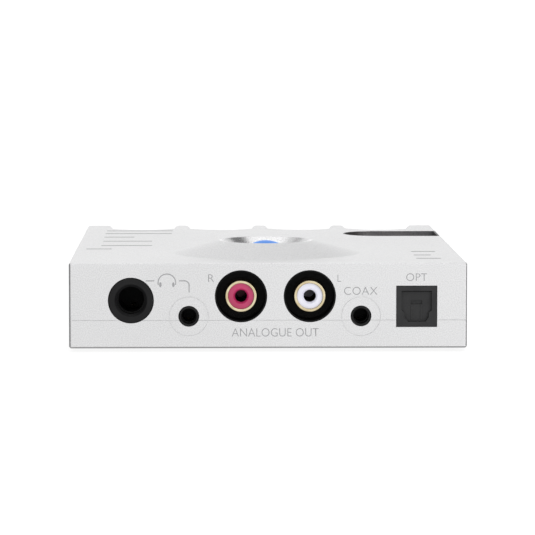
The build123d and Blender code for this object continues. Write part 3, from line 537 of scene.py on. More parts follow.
def lit_window_glass(centre: Vector, radius: float) -> bpy.types.Material:
    """Makes the domed window: polished glass, lit blue from below, paler to its rim,
    with a painted highlight where the glass is seen edge on.

    Args:
        centre: A point on the axis of the dome, in metres.
        radius: The radius of the dome's outline, in metres.

    Returns:
        The material, ready to be put on the dome.
    """
    material = bpy.data.materials.new("lit_window_glass")
    material.use_nodes = True
    nodes, links = material.node_tree.nodes, material.node_tree.links
    nodes.clear()

    spread_frame = nodes.new("NodeFrame")
    spread_frame.label = "Spread of the light below"
    spread_frame.location = (-1100, 320)
    painted_rim_highlight_frame = nodes.new("NodeFrame")
    painted_rim_highlight_frame.label = "Light caught along the rim"
    painted_rim_highlight_frame.location = (-1100, -220)

    place = nodes.new("ShaderNodeTexCoord")
    place.label = "Place on the dome"
    place.location = (-1560, 100)

    from_axis = nodes.new("ShaderNodeMapping")
    from_axis.label = "Measured from the dome's axis"
    from_axis.location = (-1340, 300)
    from_axis.parent = spread_frame
    from_axis.vector_type = "TEXTURE"
    from_axis.inputs["Location"].default_value = centre
    from_axis.inputs["Scale"].default_value = (radius, radius, radius)

    bloom = nodes.new("ShaderNodeTexGradient")
    bloom.label = "Bloom round the lamps"
    bloom.location = (-1120, 300)
    bloom.parent = spread_frame
    bloom.gradient_type = "SPHERICAL"

    bloom_tint = nodes.new("ShaderNodeValToRGB")
    bloom_tint.label = "Deep blue to pale blue"
    bloom_tint.location = (-900, 300)
    bloom_tint.parent = spread_frame
    bloom_tint.color_ramp.elements[0].position = 0.0
    bloom_tint.color_ramp.elements[0].color = (0.16, 0.38, 0.80, 1.0)
    bloom_tint.color_ramp.elements[1].position = 0.75
    bloom_tint.color_ramp.elements[1].color = (0.04, 0.19, 0.60, 1.0)

    edge = nodes.new("ShaderNodeLayerWeight")
    edge.label = "Glass seen edge on"
    edge.location = (-1120, -200)
    edge.parent = painted_rim_highlight_frame
    edge.inputs["Blend"].default_value = 0.5

    # painted highlight: the glow turns paler where the glass is seen edge on, standing
    # in for reflection along the rim
    painted_rim_highlight_level = nodes.new("ShaderNodeMapRange")
    painted_rim_highlight_level.label = "How pale the edge gets"
    painted_rim_highlight_level.location = (-900, -200)
    painted_rim_highlight_level.parent = painted_rim_highlight_frame
    painted_rim_highlight_level.inputs["From Min"].default_value = 0.78
    painted_rim_highlight_level.inputs["From Max"].default_value = 1.0
    painted_rim_highlight_level.inputs["To Max"].default_value = 0.55

    edge_gloss = nodes.new("ShaderNodeMapRange")
    edge_gloss.label = "Gloss dies away at the edge"
    edge_gloss.location = (-900, -460)
    edge_gloss.parent = painted_rim_highlight_frame
    edge_gloss.inputs["From Min"].default_value = 0.4
    edge_gloss.inputs["From Max"].default_value = 0.8
    edge_gloss.inputs["To Min"].default_value = 0.5
    edge_gloss.inputs["To Max"].default_value = 0.0

    # the pale colour mixed in here is the painted highlight of the rim
    glow = nodes.new("ShaderNodeMix")
    glow.label = "Bloom with its pale edge"
    glow.location = (-560, 200)
    glow.data_type = "RGBA"
    glow.inputs["B"].default_value = (0.50, 0.72, 1.0, 1.0)

    swirl = nodes.new("ShaderNodeTexNoise")
    swirl.label = "Polishing of the glass"
    swirl.location = (-900, -760)
    swirl.inputs["Scale"].default_value = 500.0

    polish = nodes.new("ShaderNodeMapRange")
    polish.label = "Gloss of the polish"
    polish.location = (-560, -300)
    polish.inputs["To Min"].default_value = 0.02
    polish.inputs["To Max"].default_value = 0.07

    glass = nodes.new("ShaderNodeBsdfPrincipled")
    glass.label = "Blue-lit glass"
    glass.location = (-260, 100)
    glass.inputs["Base Color"].default_value = (0.01, 0.04, 0.10, 1.0)
    glass.inputs["IOR"].default_value = 1.46
    glass.inputs["Transmission Weight"].default_value = 0.25
    glass.inputs["Emission Strength"].default_value = 1.0

    output = nodes.new("ShaderNodeOutputMaterial")
    output.label = "Surface of the dome"
    output.location = (60, 100)

    links.new(place.outputs["Object"], from_axis.inputs["Vector"])
    links.new(from_axis.outputs["Vector"], bloom.inputs["Vector"])
    links.new(bloom.outputs["Fac"], bloom_tint.inputs["Fac"])
    links.new(edge.outputs["Facing"], painted_rim_highlight_level.inputs["Value"])
    links.new(painted_rim_highlight_level.outputs["Result"], glow.inputs["Factor"])
    links.new(edge.outputs["Facing"], edge_gloss.inputs["Value"])
    links.new(edge_gloss.outputs["Result"], glass.inputs["Specular IOR Level"])
    links.new(bloom_tint.outputs["Color"], glow.inputs["A"])
    links.new(glow.outputs["Result"], glass.inputs["Emission Color"])
    links.new(place.outputs["Object"], swirl.inputs["Vector"])
    links.new(swirl.outputs["Fac"], polish.inputs["Value"])
    links.new(polish.outputs["Result"], glass.inputs["Roughness"])
    links.new(glass.outputs["BSDF"], output.inputs["Surface"])
    return material


def milky_ball(name: str, tone: Colour, heart: Colour) -> bpy.types.Material:
    """Makes the polished, milky plastic of the control balls, with a soft inner light.

    Args:
        name: The name of the material.
        tone: The colour of the plastic.
        heart: The colour of the light that shows through it.

    Returns:
        The material, ready to be put on a ball.
    """
    material = bpy.data.materials.new(name)
    material.use_nodes = True
    nodes, links = material.node_tree.nodes, material.node_tree.links
    nodes.clear()

    milk_frame = nodes.new("NodeFrame")
    milk_frame.label = "Milk in the plastic"
    milk_frame.location = (-900, 320)
    heart_frame = nodes.new("NodeFrame")
    heart_frame.label = "Light in the heart of the ball"
    heart_frame.location = (-900, -220)

    place = nodes.new("ShaderNodeTexCoord")
    place.label = "Place on the ball"
    place.location = (-1120, 100)

    milk = nodes.new("ShaderNodeTexNoise")
    milk.label = "Clouds of milk"
    milk.location = (-880, 300)
    milk.parent = milk_frame
    milk.inputs["Scale"].default_value = 210.0
    milk.inputs["Detail"].default_value = 4.0
    milk.inputs["Distortion"].default_value = 0.8

    milk_tone = nodes.new("ShaderNodeValToRGB")
    milk_tone.label = "Thin and thick milk"
    milk_tone.location = (-640, 300)
    milk_tone.parent = milk_frame
    milk_tone.color_ramp.elements[0].position = 0.3
    milk_tone.color_ramp.elements[0].color = (*(0.86 * part for part in tone), 1.0)
    milk_tone.color_ramp.elements[1].position = 0.7
    milk_tone.color_ramp.elements[1].color = (*tone, 1.0)

    depth = nodes.new("ShaderNodeLayerWeight")
    depth.label = "Plastic behind the surface"
    depth.location = (-880, -200)
    depth.parent = heart_frame
    depth.inputs["Blend"].default_value = 0.45

    heart_light = nodes.new("ShaderNodeValToRGB")
    heart_light.label = "Light fading to the outline"
    heart_light.location = (-640, -200)
    heart_light.parent = heart_frame
    heart_light.color_ramp.elements[0].position = 0.05
    heart_light.color_ramp.elements[0].color = (*heart, 1.0)
    heart_light.color_ramp.elements[1].position = 0.85
    heart_light.color_ramp.elements[1].color = (*(0.15 * part for part in heart), 1.0)

    gloss = nodes.new("ShaderNodeMapRange")
    gloss.label = "Gloss worn by fingers"
    gloss.location = (-640, 20)
    gloss.inputs["To Min"].default_value = 0.06
    gloss.inputs["To Max"].default_value = 0.2

    ball = nodes.new("ShaderNodeBsdfPrincipled")
    ball.label = "Milky plastic"
    ball.location = (-200, 100)
    ball.inputs["IOR"].default_value = 1.49
    ball.inputs["Transmission Weight"].default_value = 0.2
    ball.inputs["Subsurface Weight"].default_value = 0.3
    ball.inputs["Subsurface Radius"].default_value = (0.002, 0.002, 0.002)
    ball.inputs["Subsurface Scale"].default_value = 1.0
    ball.inputs["Coat Weight"].default_value = 0.5
    ball.inputs["Coat Roughness"].default_value = 0.05
    ball.inputs["Emission Strength"].default_value = 0.35

    output = nodes.new("ShaderNodeOutputMaterial")
    output.label = "Surface of the ball"
    output.location = (120, 100)

    links.new(place.outputs["Object"], milk.inputs["Vector"])
    links.new(milk.outputs["Fac"], milk_tone.inputs["Fac"])
    links.new(milk_tone.outputs["Color"], ball.inputs["Base Color"])
    links.new(milk.outputs["Fac"], gloss.inputs["Value"])
    links.new(gloss.outputs["Result"], ball.inputs["Roughness"])
    links.new(depth.outputs["Facing"], heart_light.inputs["Fac"])
    links.new(heart_light.outputs["Color"], ball.inputs["Emission Color"])
    links.new(ball.outputs["BSDF"], output.inputs["Surface"])
    return material


def soft_moulding(finish: SoftFinish) -> bpy.types.Material:
    """Makes rubber or foam: a dull skin broken by fine cells, with painted shade in the
    pores.

    Args:
        finish: The tones, gloss and cells of this material.

    Returns:
        The material, ready to be put on a piece.
    """
    material = bpy.data.materials.new(finish.name)
    material.use_nodes = True
    nodes, links = material.node_tree.nodes, material.node_tree.links
    nodes.clear()

    cell_frame = nodes.new("NodeFrame")
    cell_frame.label = "Cells of the skin"
    cell_frame.location = (-900, 100)

    place = nodes.new("ShaderNodeTexCoord")
    place.label = "Place on the piece"
    place.location = (-1120, 0)

    cells = nodes.new("ShaderNodeTexVoronoi")
    cells.label = "Cells and pores"
    cells.location = (-880, 100)
    cells.parent = cell_frame
    cells.inputs["Scale"].default_value = finish.cells_per_metre

    # painted shade: the colour darkens toward the bottom of each pore, where the bump
    # is lowest
    cell_tone_with_painted_pore_shade = nodes.new("ShaderNodeValToRGB")
    cell_tone_with_painted_pore_shade.label = "Tone from pore to wall"
    cell_tone_with_painted_pore_shade.location = (-640, 240)
    cell_tone_with_painted_pore_shade.parent = cell_frame
    cell_tone_with_painted_pore_shade.color_ramp.elements[0].color = (*finish.shade, 1.0)
    cell_tone_with_painted_pore_shade.color_ramp.elements[1].position = 0.6
    cell_tone_with_painted_pore_shade.color_ramp.elements[1].color = (*finish.tone, 1.0)

    cell_gloss = nodes.new("ShaderNodeMapRange")
    cell_gloss.label = "Gloss from pore to wall"
    cell_gloss.location = (-640, -20)
    cell_gloss.parent = cell_frame
    cell_gloss.inputs["To Min"].default_value = finish.roughness - 0.08
    cell_gloss.inputs["To Max"].default_value = finish.roughness + 0.05

    relief = nodes.new("ShaderNodeBump")
    relief.label = "Depth of the cells"
    relief.location = (-640, -280)
    relief.parent = cell_frame
    relief.inputs["Strength"].default_value = 0.5
    relief.inputs["Distance"].default_value = finish.cell_depth

    skin = nodes.new("ShaderNodeBsdfPrincipled")
    skin.label = "Soft skin"
    skin.location = (-240, 100)

    output = nodes.new("ShaderNodeOutputMaterial")
    output.label = "Surface of the piece"
    output.location = (80, 100)

    links.new(place.outputs["Object"], cells.inputs["Vector"])
    links.new(cells.outputs["Distance"], cell_tone_with_painted_pore_shade.inputs["Fac"])
    links.new(cell_tone_with_painted_pore_shade.outputs["Color"], skin.inputs["Base Color"])
    links.new(cells.outputs["Distance"], cell_gloss.inputs["Value"])
    links.new(cell_gloss.outputs["Result"], skin.inputs["Roughness"])
    links.new(cells.outputs["Distance"], relief.inputs["Height"])
    links.new(relief.outputs["Normal"], skin.inputs["Normal"])
    links.new(skin.outputs["BSDF"], output.inputs["Surface"])
    return material


def solder_resist() -> bpy.types.Material:
    """Makes the board's skin: green resist over raised tracks, with tinned pads."""
    material = bpy.data.materials.new("solder_resist")
    material.use_nodes = True
    nodes, links = material.node_tree.nodes, material.node_tree.links
    nodes.clear()

    track_frame = nodes.new("NodeFrame")
    track_frame.label = "Tracks under the resist"
    track_frame.location = (-1100, 320)
    pad_frame = nodes.new("NodeFrame")
    pad_frame.label = "Tinned pads"
    pad_frame.location = (-1100, -220)

    place = nodes.new("ShaderNodeTexCoord")
    place.label = "Place on the board"
    place.location = (-1340, 100)

    tracks = nodes.new("ShaderNodeTexBrick")
    tracks.label = "Runs of copper track"
    tracks.location = (-1100, 320)
    tracks.parent = track_frame
    tracks.offset_frequency = 3
    tracks.inputs["Color1"].default_value = (0.012, 0.075, 0.04, 1.0)
    tracks.inputs["Color2"].default_value = (0.016, 0.09, 0.05, 1.0)
    tracks.inputs["Mortar"].default_value = (0.035, 0.16, 0.08, 1.0)
    tracks.inputs["Scale"].default_value = 190.0
    tracks.inputs["Mortar Size"].default_value = 0.035
    tracks.inputs["Brick Width"].default_value = 1.7
    tracks.inputs["Row Height"].default_value = 0.45

    pads = nodes.new("ShaderNodeTexVoronoi")
    pads.label = "Scattered round pads"
    pads.location = (-1100, -220)
    pads.parent = pad_frame
    pads.inputs["Scale"].default_value = 230.0

    pad_edge = nodes.new("ShaderNodeMapRange")
    pad_edge.label = "Edge of each pad"
    pad_edge.location = (-860, -220)
    pad_edge.parent = pad_frame
    pad_edge.inputs["From Min"].default_value = 0.13
    pad_edge.inputs["From Max"].default_value = 0.15
    pad_edge.inputs["To Min"].default_value = 1.0
    pad_edge.inputs["To Max"].default_value = 0.0

    pad_colour = nodes.new("ShaderNodeMix")
    pad_colour.label = "Resist or bare tin"
    pad_colour.location = (-600, 200)
    pad_colour.data_type = "RGBA"
    pad_colour.inputs["B"].default_value = (0.72, 0.70, 0.66, 1.0)

    relief = nodes.new("ShaderNodeBump")
    relief.label = "Height of the tracks"
    relief.location = (-600, -420)
    relief.inputs["Strength"].default_value = 0.5
    relief.inputs["Distance"].default_value = 0.00004

    skin = nodes.new("ShaderNodeBsdfPrincipled")
    skin.label = "Glossy resist"
    skin.location = (-300, 100)
    skin.inputs["Roughness"].default_value = 0.32

    output = nodes.new("ShaderNodeOutputMaterial")
    output.label = "Surface of the board"
    output.location = (20, 100)

    links.new(place.outputs["Object"], tracks.inputs["Vector"])
    links.new(place.outputs["Object"], pads.inputs["Vector"])
    links.new(pads.outputs["Distance"], pad_edge.inputs["Value"])
    links.new(pad_edge.outputs["Result"], pad_colour.inputs["Factor"])
    links.new(tracks.outputs["Color"], pad_colour.inputs["A"])
    links.new(pad_colour.outputs["Result"], skin.inputs["Base Color"])
    links.new(pad_edge.outputs["Result"], skin.inputs["Metallic"])
    links.new(tracks.outputs["Fac"], relief.inputs["Height"])
    links.new(relief.outputs["Normal"], skin.inputs["Normal"])
    links.new(skin.outputs["BSDF"], output.inputs["Surface"])
    return material


def wound_copper() -> bpy.types.Material:
    """Makes the enamelled copper of the inductors, turn beside turn."""
    material = bpy.data.materials.new("wound_copper")
    material.use_nodes = True
    nodes, links = material.node_tree.nodes, material.node_tree.links
    nodes.clear()

    turn_frame = nodes.new("NodeFrame")
    turn_frame.label = "Turns of the winding"
    turn_frame.location = (-900, 100)

    place = nodes.new("ShaderNodeTexCoord")
    place.label = "Place on the winding"
    place.location = (-1120, 0)

    turns = nodes.new("ShaderNodeTexWave")
    turns.label = "Wire beside wire"
    turns.location = (-880, 100)
    turns.parent = turn_frame
    turns.wave_type = "BANDS"
    turns.bands_direction = "Z"
    turns.inputs["Scale"].default_value = 700.0
    turns.inputs["Distortion"].default_value = 0.6

    # painted shade: the gaps between the turns are coloured darker than the copper of
    # the crowns
    turn_tone_with_painted_gap_shade = nodes.new("ShaderNodeValToRGB")
    turn_tone_with_painted_gap_shade.label = "Crown and gap of the wire"
    turn_tone_with_painted_gap_shade.location = (-640, 240)
    turn_tone_with_painted_gap_shade.parent = turn_frame
    turn_tone_with_painted_gap_shade.color_ramp.elements[0].color = (0.16, 0.05, 0.02, 1.0)
    turn_tone_with_painted_gap_shade.color_ramp.elements[1].position = 0.6
    turn_tone_with_painted_gap_shade.color_ramp.elements[1].color = (0.62, 0.30, 0.16, 1.0)

    relief = nodes.new("ShaderNodeBump")
    relief.label = "Roundness of the wire"
    relief.location = (-640, -200)
    relief.parent = turn_frame
    relief.inputs["Strength"].default_value = 0.7
    relief.inputs["Distance"].default_value = 0.0001

    wire = nodes.new("ShaderNodeBsdfPrincipled")
    wire.label = "Enamelled wire"
    wire.location = (-240, 100)
    wire.inputs["Metallic"].default_value = 0.9
    wire.inputs["Roughness"].default_value = 0.3
    wire.inputs["Coat Weight"].default_value = 0.6

    output = nodes.new("ShaderNodeOutputMaterial")
    output.label = "Surface of the winding"
    output.location = (80, 100)

    links.new(place.outputs["Object"], turns.inputs["Vector"])
    links.new(turns.outputs["Fac"], turn_tone_with_painted_gap_shade.inputs["Fac"])
    links.new(turn_tone_with_painted_gap_shade.outputs["Color"], wire.inputs["Base Color"])
    links.new(turns.outputs["Fac"], relief.inputs["Height"])
    links.new(relief.outputs["Normal"], wire.inputs["Normal"])
    links.new(wire.outputs["BSDF"], output.inputs["Surface"])
    return material


def printed_ink(finish: InkFinish) -> bpy.types.Material:
    """Makes the ink of the printed marks, a little thin where it missed a dimple.

    Args:
        finish: The tones and gloss of the ink.

    Returns:
        The material, ready to be put on a mark.
    """
    material = bpy.data.materials.new(finish.name)
    material.use_nodes = True
    nodes, links = material.node_tree.nodes, material.node_tree.links
    nodes.clear()

    film_frame = nodes.new("NodeFrame")
    film_frame.label = "Film of ink"
    film_frame.location = (-900, 100)

    place = nodes.new("ShaderNodeTexCoord")
    place.label = "Place on the mark"
    place.location = (-1120, 0)

    cover = nodes.new("ShaderNodeTexNoise")
    cover.label = "Cover over the dimples"
    cover.location = (-880, 100)
    cover.parent = film_frame
    cover.inputs["Scale"].default_value = 3600.0
    cover.inputs["Detail"].default_value = 2.0

    cover_tone = nodes.new("ShaderNodeValToRGB")
    cover_tone.label = "Thin and full ink"
    cover_tone.location = (-640, 200)
    cover_tone.parent = film_frame
    cover_tone.color_ramp.elements[0].position = 0.35
    cover_tone.color_ramp.elements[0].color = (*finish.tone, 1.0)
    cover_tone.color_ramp.elements[1].position = 0.75
    cover_tone.color_ramp.elements[1].color = (*finish.shade, 1.0)

    ink_gloss = nodes.new("ShaderNodeMapRange")
    ink_gloss.label = "Gloss of the film"
    ink_gloss.location = (-640, -60)
    ink_gloss.parent = film_frame
    ink_gloss.inputs["To Min"].default_value = finish.roughness - 0.05
    ink_gloss.inputs["To Max"].default_value = finish.roughness + 0.05

    ink = nodes.new("ShaderNodeBsdfPrincipled")
    ink.label = "Dry ink"
    ink.location = (-240, 100)

    output = nodes.new("ShaderNodeOutputMaterial")
    output.label = "Surface of the mark"
    output.location = (80, 100)

    links.new(place.outputs["Object"], cover.inputs["Vector"])
    links.new(cover.outputs["Fac"], cover_tone.inputs["Fac"])
    links.new(cover_tone.outputs["Color"], ink.inputs["Base Color"])
    links.new(cover.outputs["Fac"], ink_gloss.inputs["Value"])
    links.new(ink_gloss.outputs["Result"], ink.inputs["Roughness"])
    links.new(ink.outputs["BSDF"], output.inputs["Surface"])
    return material


def studio_floor_paint() -> bpy.types.Material:
    """Makes the pale floor, which glows enough to stay white under the object."""
    material = bpy.data.materials.new("studio_floor_paint")
    material.use_nodes = True
    nodes, links = material.node_tree.nodes, material.node_tree.links
    nodes.clear()

    place = nodes.new("ShaderNodeTexCoord")
    place.label = "Place on the floor"
    place.location = (-900, 0)

    roller = nodes.new("ShaderNodeTexNoise")
    roller.label = "Faint unevenness of the paint"
    roller.location = (-680, 0)
    roller.inputs["Scale"].default_value = 6.0

    paint_tone = nodes.new("ShaderNodeMapRange")
    paint_tone.label = "Level of the paint"
    paint_tone.location = (-460, 0)
    paint_tone.inputs["To Min"].default_value = 0.29
    paint_tone.inputs["To Max"].default_value = 0.31

    paint = nodes.new("ShaderNodeBsdfPrincipled")
    paint.label = "Matt white paint"
    paint.location = (-200, 0)
    paint.inputs["Roughness"].default_value = 0.9
    paint.inputs["Specular IOR Level"].default_value = 0.0
    paint.inputs["Emission Color"].default_value = (1.0, 1.0, 1.0, 1.0)
    paint.inputs["Emission Strength"].default_value = 0.84

    output = nodes.new("ShaderNodeOutputMaterial")
    output.label = "Surface of the floor"
    output.location = (120, 0)

    links.new(place.outputs["Object"], roller.inputs["Vector"])
    links.new(roller.outputs["Fac"], paint_tone.inputs["Value"])
    links.new(paint_tone.outputs["Result"], paint.inputs["Base Color"])
    links.new(paint.outputs["BSDF"], output.inputs["Surface"])
    return material


# ---- Bench work ---------------------------------------------------------------------


class Face(Enum):
    """The faces of the case that carry marks, each as the turn that lays one on it."""

    FRONT = (math.pi / 2, 0.0, 0.0)
    REAR = (math.pi / 2, 0.0, math.pi)
    ROOF = (0.0, 0.0, 0.0)


def deselect_everything() -> None:
    """Leaves object mode with nothing selected."""
    if bpy.context.object and bpy.context.object.mode != "OBJECT":
        bpy.ops.object.mode_set(mode="OBJECT")
    bpy.ops.object.select_all(action="DESELECT")


def take_up(piece: bpy.types.Object) -> None:
    """Makes one piece the only selected and active object."""
    deselect_everything()
    piece.select_set(True)
    bpy.context.view_layer.objects.active = piece


def name_new_piece(name: str) -> bpy.types.Object:
    """Gives the object that was just added, and its mesh, their name."""
    piece = bpy.context.object
    piece.name = name
    piece.data.name = name
    return piece


def settle(piece: bpy.types.Object) -> None:
    """Puts a piece's place, turn and size into its mesh."""
    take_up(piece)
    bpy.ops.object.transform_apply(location=True, rotation=True, scale=True)


def choose_faces(
    piece: bpy.types.Object, wanted: Callable[[Vector, Vector], bool]
) -> None:
    """Selects faces of a piece in edit mode.

    Args:
        piece: The piece, which is the active object.
        wanted: Says from a face's centre and normal whether it is chosen.
    """
    bpy.ops.object.mode_set(mode="EDIT")
    bpy.ops.mesh.select_mode(type="FACE")
    bpy.ops.mesh.select_all(action="DESELECT")
    bpy.ops.object.mode_set(mode="OBJECT")
    for face in piece.data.polygons:
        face.select = wanted(face.center, face.normal)
    bpy.ops.object.mode_set(mode="EDIT")


def close_up(piece: bpy.types.Object) -> None:
    """Merges doubles, closes the open ends and turns every face outwards."""
    take_up(piece)
    bpy.ops.object.mode_set(mode="EDIT")
    bpy.ops.mesh.select_all(action="SELECT")
    bpy.ops.mesh.remove_doubles(threshold=1e-7)
    bpy.ops.mesh.fill_holes(sides=0)
    bpy.ops.mesh.normals_make_consistent(inside=False)
    bpy.ops.object.mode_set(mode="OBJECT")


def dress(
    piece: bpy.types.Object,
    material: bpy.types.Material,
    body: str = "case",
) -> None:
    """Gives a new piece its material and its body.

    Args:
        piece: The finished piece.
        material: What it is made of.
        body: The body that it moves with.
    """
    piece.data.materials.clear()
    piece.data.materials.append(material)
    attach(piece, body)
    log.info("piece %s: %d faces on %s", piece.name, len(piece.data.polygons), body)


def dress_nodes(names: Sequence[str], material: bpy.types.Material) -> None:
    """Gives carried-over nodes a material.

    Args:
        names: The nodes to dress.
        material: What they are made of.
    """
    for name in names:
        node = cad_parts[name]
        if not node.material_slots:
            node.data.materials.append(material)
        for place in node.material_slots:
            place.material = material
        log.info("node %s: %s", name, material.name)


@dataclass
class PrintedMarks:
    """Thin printed strokes, arcs and letters, made flat and then laid on a face."""

    face: Face
    origin: Vector
    ink: bpy.types.Material
    film: float = 0.03 * MM

    def lay(self, piece: bpy.types.Object) -> bpy.types.Object:
        """Turns a flat mark onto its face and dresses it."""
        take_up(piece)
        piece.rotation_euler = self.face.value
        piece.location = self.origin
        settle(piece)
        dress(piece, self.ink)
        return piece

    def stroke(
        self, name: str, start: Point, end: Point, width: float
    ) -> bpy.types.Object:
        """Prints a straight stroke with rounded ends.

        Args:
            name: The name of the piece.
            start: Where the stroke starts on the face, in metres.
            end: Where it ends.
            width: Its width, in metres.

        Returns:
            The finished mark.
        """
        run = Vector(end) - Vector(start)
        middle = (Vector(end) + Vector(start)) / 2
        deselect_everything()
        bpy.ops.mesh.primitive_plane_add(
            size=1.0,
            location=(middle.x, middle.y, 0.0),
            rotation=(0.0, 0.0, math.atan2(run.y, run.x)),
        )
        piece = name_new_piece(name)
        piece.scale = (run.length + width, width, 1.0)
        settle(piece)
        bpy.ops.object.mode_set(mode="EDIT")
        bpy.ops.mesh.select_all(action="SELECT")
        bpy.ops.mesh.bevel(affect="VERTICES", offset=width * 0.48, segments=4)
        bpy.ops.mesh.select_all(action="SELECT")
        bpy.ops.mesh.extrude_region_move(
            TRANSFORM_OT_translate={"value": (0.0, 0.0, self.film)}
        )
        bpy.ops.object.mode_set(mode="OBJECT")
        close_up(piece)
        return self.lay(piece)

    def arc(
        self,
        name: str,
        centre: Point,
        radius: float,
        width: float,
        start: float,
        sweep: float,
    ) -> bpy.types.Object:
        """Prints an arc of a circle.

        Args:
            name: The name of the piece.
            centre: The centre of the arc on the face, in metres.
            radius: The radius of its middle line.
            width: The width of the stroke.
            start: The angle at which it starts, in degrees from the face's right.
            sweep: How far it goes round, in degrees.

        Returns:
            The finished mark.
        """
        deselect_everything()
        bpy.ops.mesh.primitive_plane_add(
            size=1.0,
            location=(radius, 0.0, self.film / 2),
            rotation=(math.pi / 2, 0.0, 0.0),
        )
        piece = name_new_piece(name)
        piece.scale = (width, self.film, 1.0)
        settle(piece)
        bpy.ops.object.mode_set(mode="EDIT")
        bpy.ops.mesh.select_all(action="SELECT")
        bpy.ops.mesh.spin(
            steps=max(8, round(sweep / 7)),
            angle=math.radians(sweep),
            center=(0.0, 0.0, 0.0),
            axis=(0.0, 0.0, 1.0),
        )
        bpy.ops.object.mode_set(mode="OBJECT")
        close_up(piece)
        # the spin runs clockwise, so the arc is turned on by its whole sweep
        piece.rotation_euler = (0.0, 0.0, math.radians(start + sweep))
        piece.location = (centre[0], centre[1], 0.0)
        settle(piece)
        return self.lay(piece)

    def ellipse(self, name: str, centre: Point, half: Point) -> bpy.types.Object:
        """Prints a filled ellipse.

        Args:
            name: The name of the piece.
            centre: The centre of the ellipse on the face, in metres.
            half: Half its width and half its height.

        Returns:
            The finished mark.
        """
        deselect_everything()
        bpy.ops.mesh.primitive_circle_add(
            vertices=32, radius=1.0, fill_type="NGON", location=(*centre, 0.0)
        )
        piece = name_new_piece(name)
        piece.scale = (*half, 1.0)
        settle(piece)
        bpy.ops.object.mode_set(mode="EDIT")
        bpy.ops.mesh.select_all(action="SELECT")
        bpy.ops.mesh.extrude_region_move(
            TRANSFORM_OT_translate={"value": (0.0, 0.0, self.film)}
        )
        bpy.ops.object.mode_set(mode="OBJECT")
        close_up(piece)
        return self.lay(piece)

    def words(
        self,
        name: str,
        letters: str,
        left_low: Point,
        right_high: Point,
        spacing: float,
    ) -> bpy.types.Object:
        """Prints a plain label, stretched to fill a given space.

        Args:
            name: The name of the piece.
            letters: What the label says.
            left_low: The lower left corner of its space, in metres.
            right_high: The upper right corner of its space.
            spacing: The space between letters, where 1 is normal.

        Returns:
            The finished mark.
        """
        deselect_everything()
        bpy.ops.object.text_add()
        label = bpy.context.object
        label.data.body = letters
        label.data.size = 1.0
        label.data.space_character = spacing
        label.data.offset = -0.014
        label.data.resolution_u = 6
        take_up(label)
        bpy.ops.object.convert(target="MESH")
        piece = name_new_piece(name)
        across = [vertex.co.x for vertex in piece.data.vertices]
        upward = [vertex.co.y for vertex in piece.data.vertices]
        wide = (right_high[0] - left_low[0]) / (max(across) - min(across))
        tall = (right_high[1] - left_low[1]) / (max(upward) - min(upward))
        piece.scale = (wide, tall, 1.0)
        piece.location = (
            left_low[0] - min(across) * wide,
            left_low[1] - min(upward) * tall,
            0.0,
        )
        settle(piece)
        bpy.ops.object.modifier_add(type="SOLIDIFY")
        body = piece.modifiers[-1]
        body.thickness = self.film
        body.offset = 1.0
        bpy.ops.object.modifier_apply(modifier=body.name)
        return self.lay(piece)


# ---- Sub-assemblies -----------------------------------------------------------------


@dataclass
class OuterCase:
    """The aluminium case, its screws and its feet."""

    silver: BlastedFinish = BlastedFinish(
        name="blasted_silver_aluminium",
        tone=(0.90, 0.90, 0.905),
        shade=(0.69, 0.69, 0.695),
        roughness=0.42,
        marks_per_metre=4200.0,
        dimple_depth=0.00004,
        bowl_centre=(0.0, -31.0 * MM),
        bowl_radius=12.4 * MM,
    )
    # painted shade: a dark copy of the blasted skin for the volume recess, whose walls
    # are only in shade
    dark: BlastedFinish = BlastedFinish(
        name="painted_shade_well_finish",
        tone=(0.16, 0.16, 0.165),
        shade=(0.11, 0.11, 0.115),
        roughness=0.5,
        marks_per_metre=3800.0,
        dimple_depth=0.00003,
    )
    foot: SoftFinish = SoftFinish(
        name="foot_rubber",
        tone=(0.045, 0.045, 0.047),
        shade=(0.025, 0.025, 0.026),
        roughness=0.78,
        cells_per_metre=2600.0,
        cell_depth=0.00003,
    )
    screw: MetalFinish = MetalFinish(
        name="plated_steel",
        tone=(0.66, 0.66, 0.68),
        shade=(0.46, 0.46, 0.47),
        roughness=0.26,
        mark_stretch=(900.0, 900.0, 5200.0),
        mark_depth=0.00001,
    )

    spring: MetalFinish = MetalFinish(
        name="blackened_steel",
        tone=(0.05, 0.05, 0.052),
        shade=(0.03, 0.03, 0.031),
        roughness=0.45,
        mark_stretch=(5200.0, 900.0, 900.0),
        mark_depth=0.00001,
    )

    def dress(self) -> None:
        """Dresses the shells, the recess in a dark finish that is painted shade, the
        feet and the steel parts.
        """
        dress_nodes(
            ("top_shell", "socket_wall", "base_tray"), blasted_aluminium(self.silver)
        )
        # the recess is dressed dark as painted shade
        dress_nodes(("volume_well",), blasted_aluminium(self.dark))
        dress_nodes(("rubber_feet", "window_gasket"), soft_moulding(self.foot))
        dress_nodes(
            (
                "case_screws",
                "window_screws",
                "board_screws",
                "volume_axle",
                "usb_data_socket",
                "usb_charge_socket",
            ),
            worked_metal(self.screw),
        )
        dress_nodes(("shutter_pin", "shutter_spring"), worked_metal(self.spring))


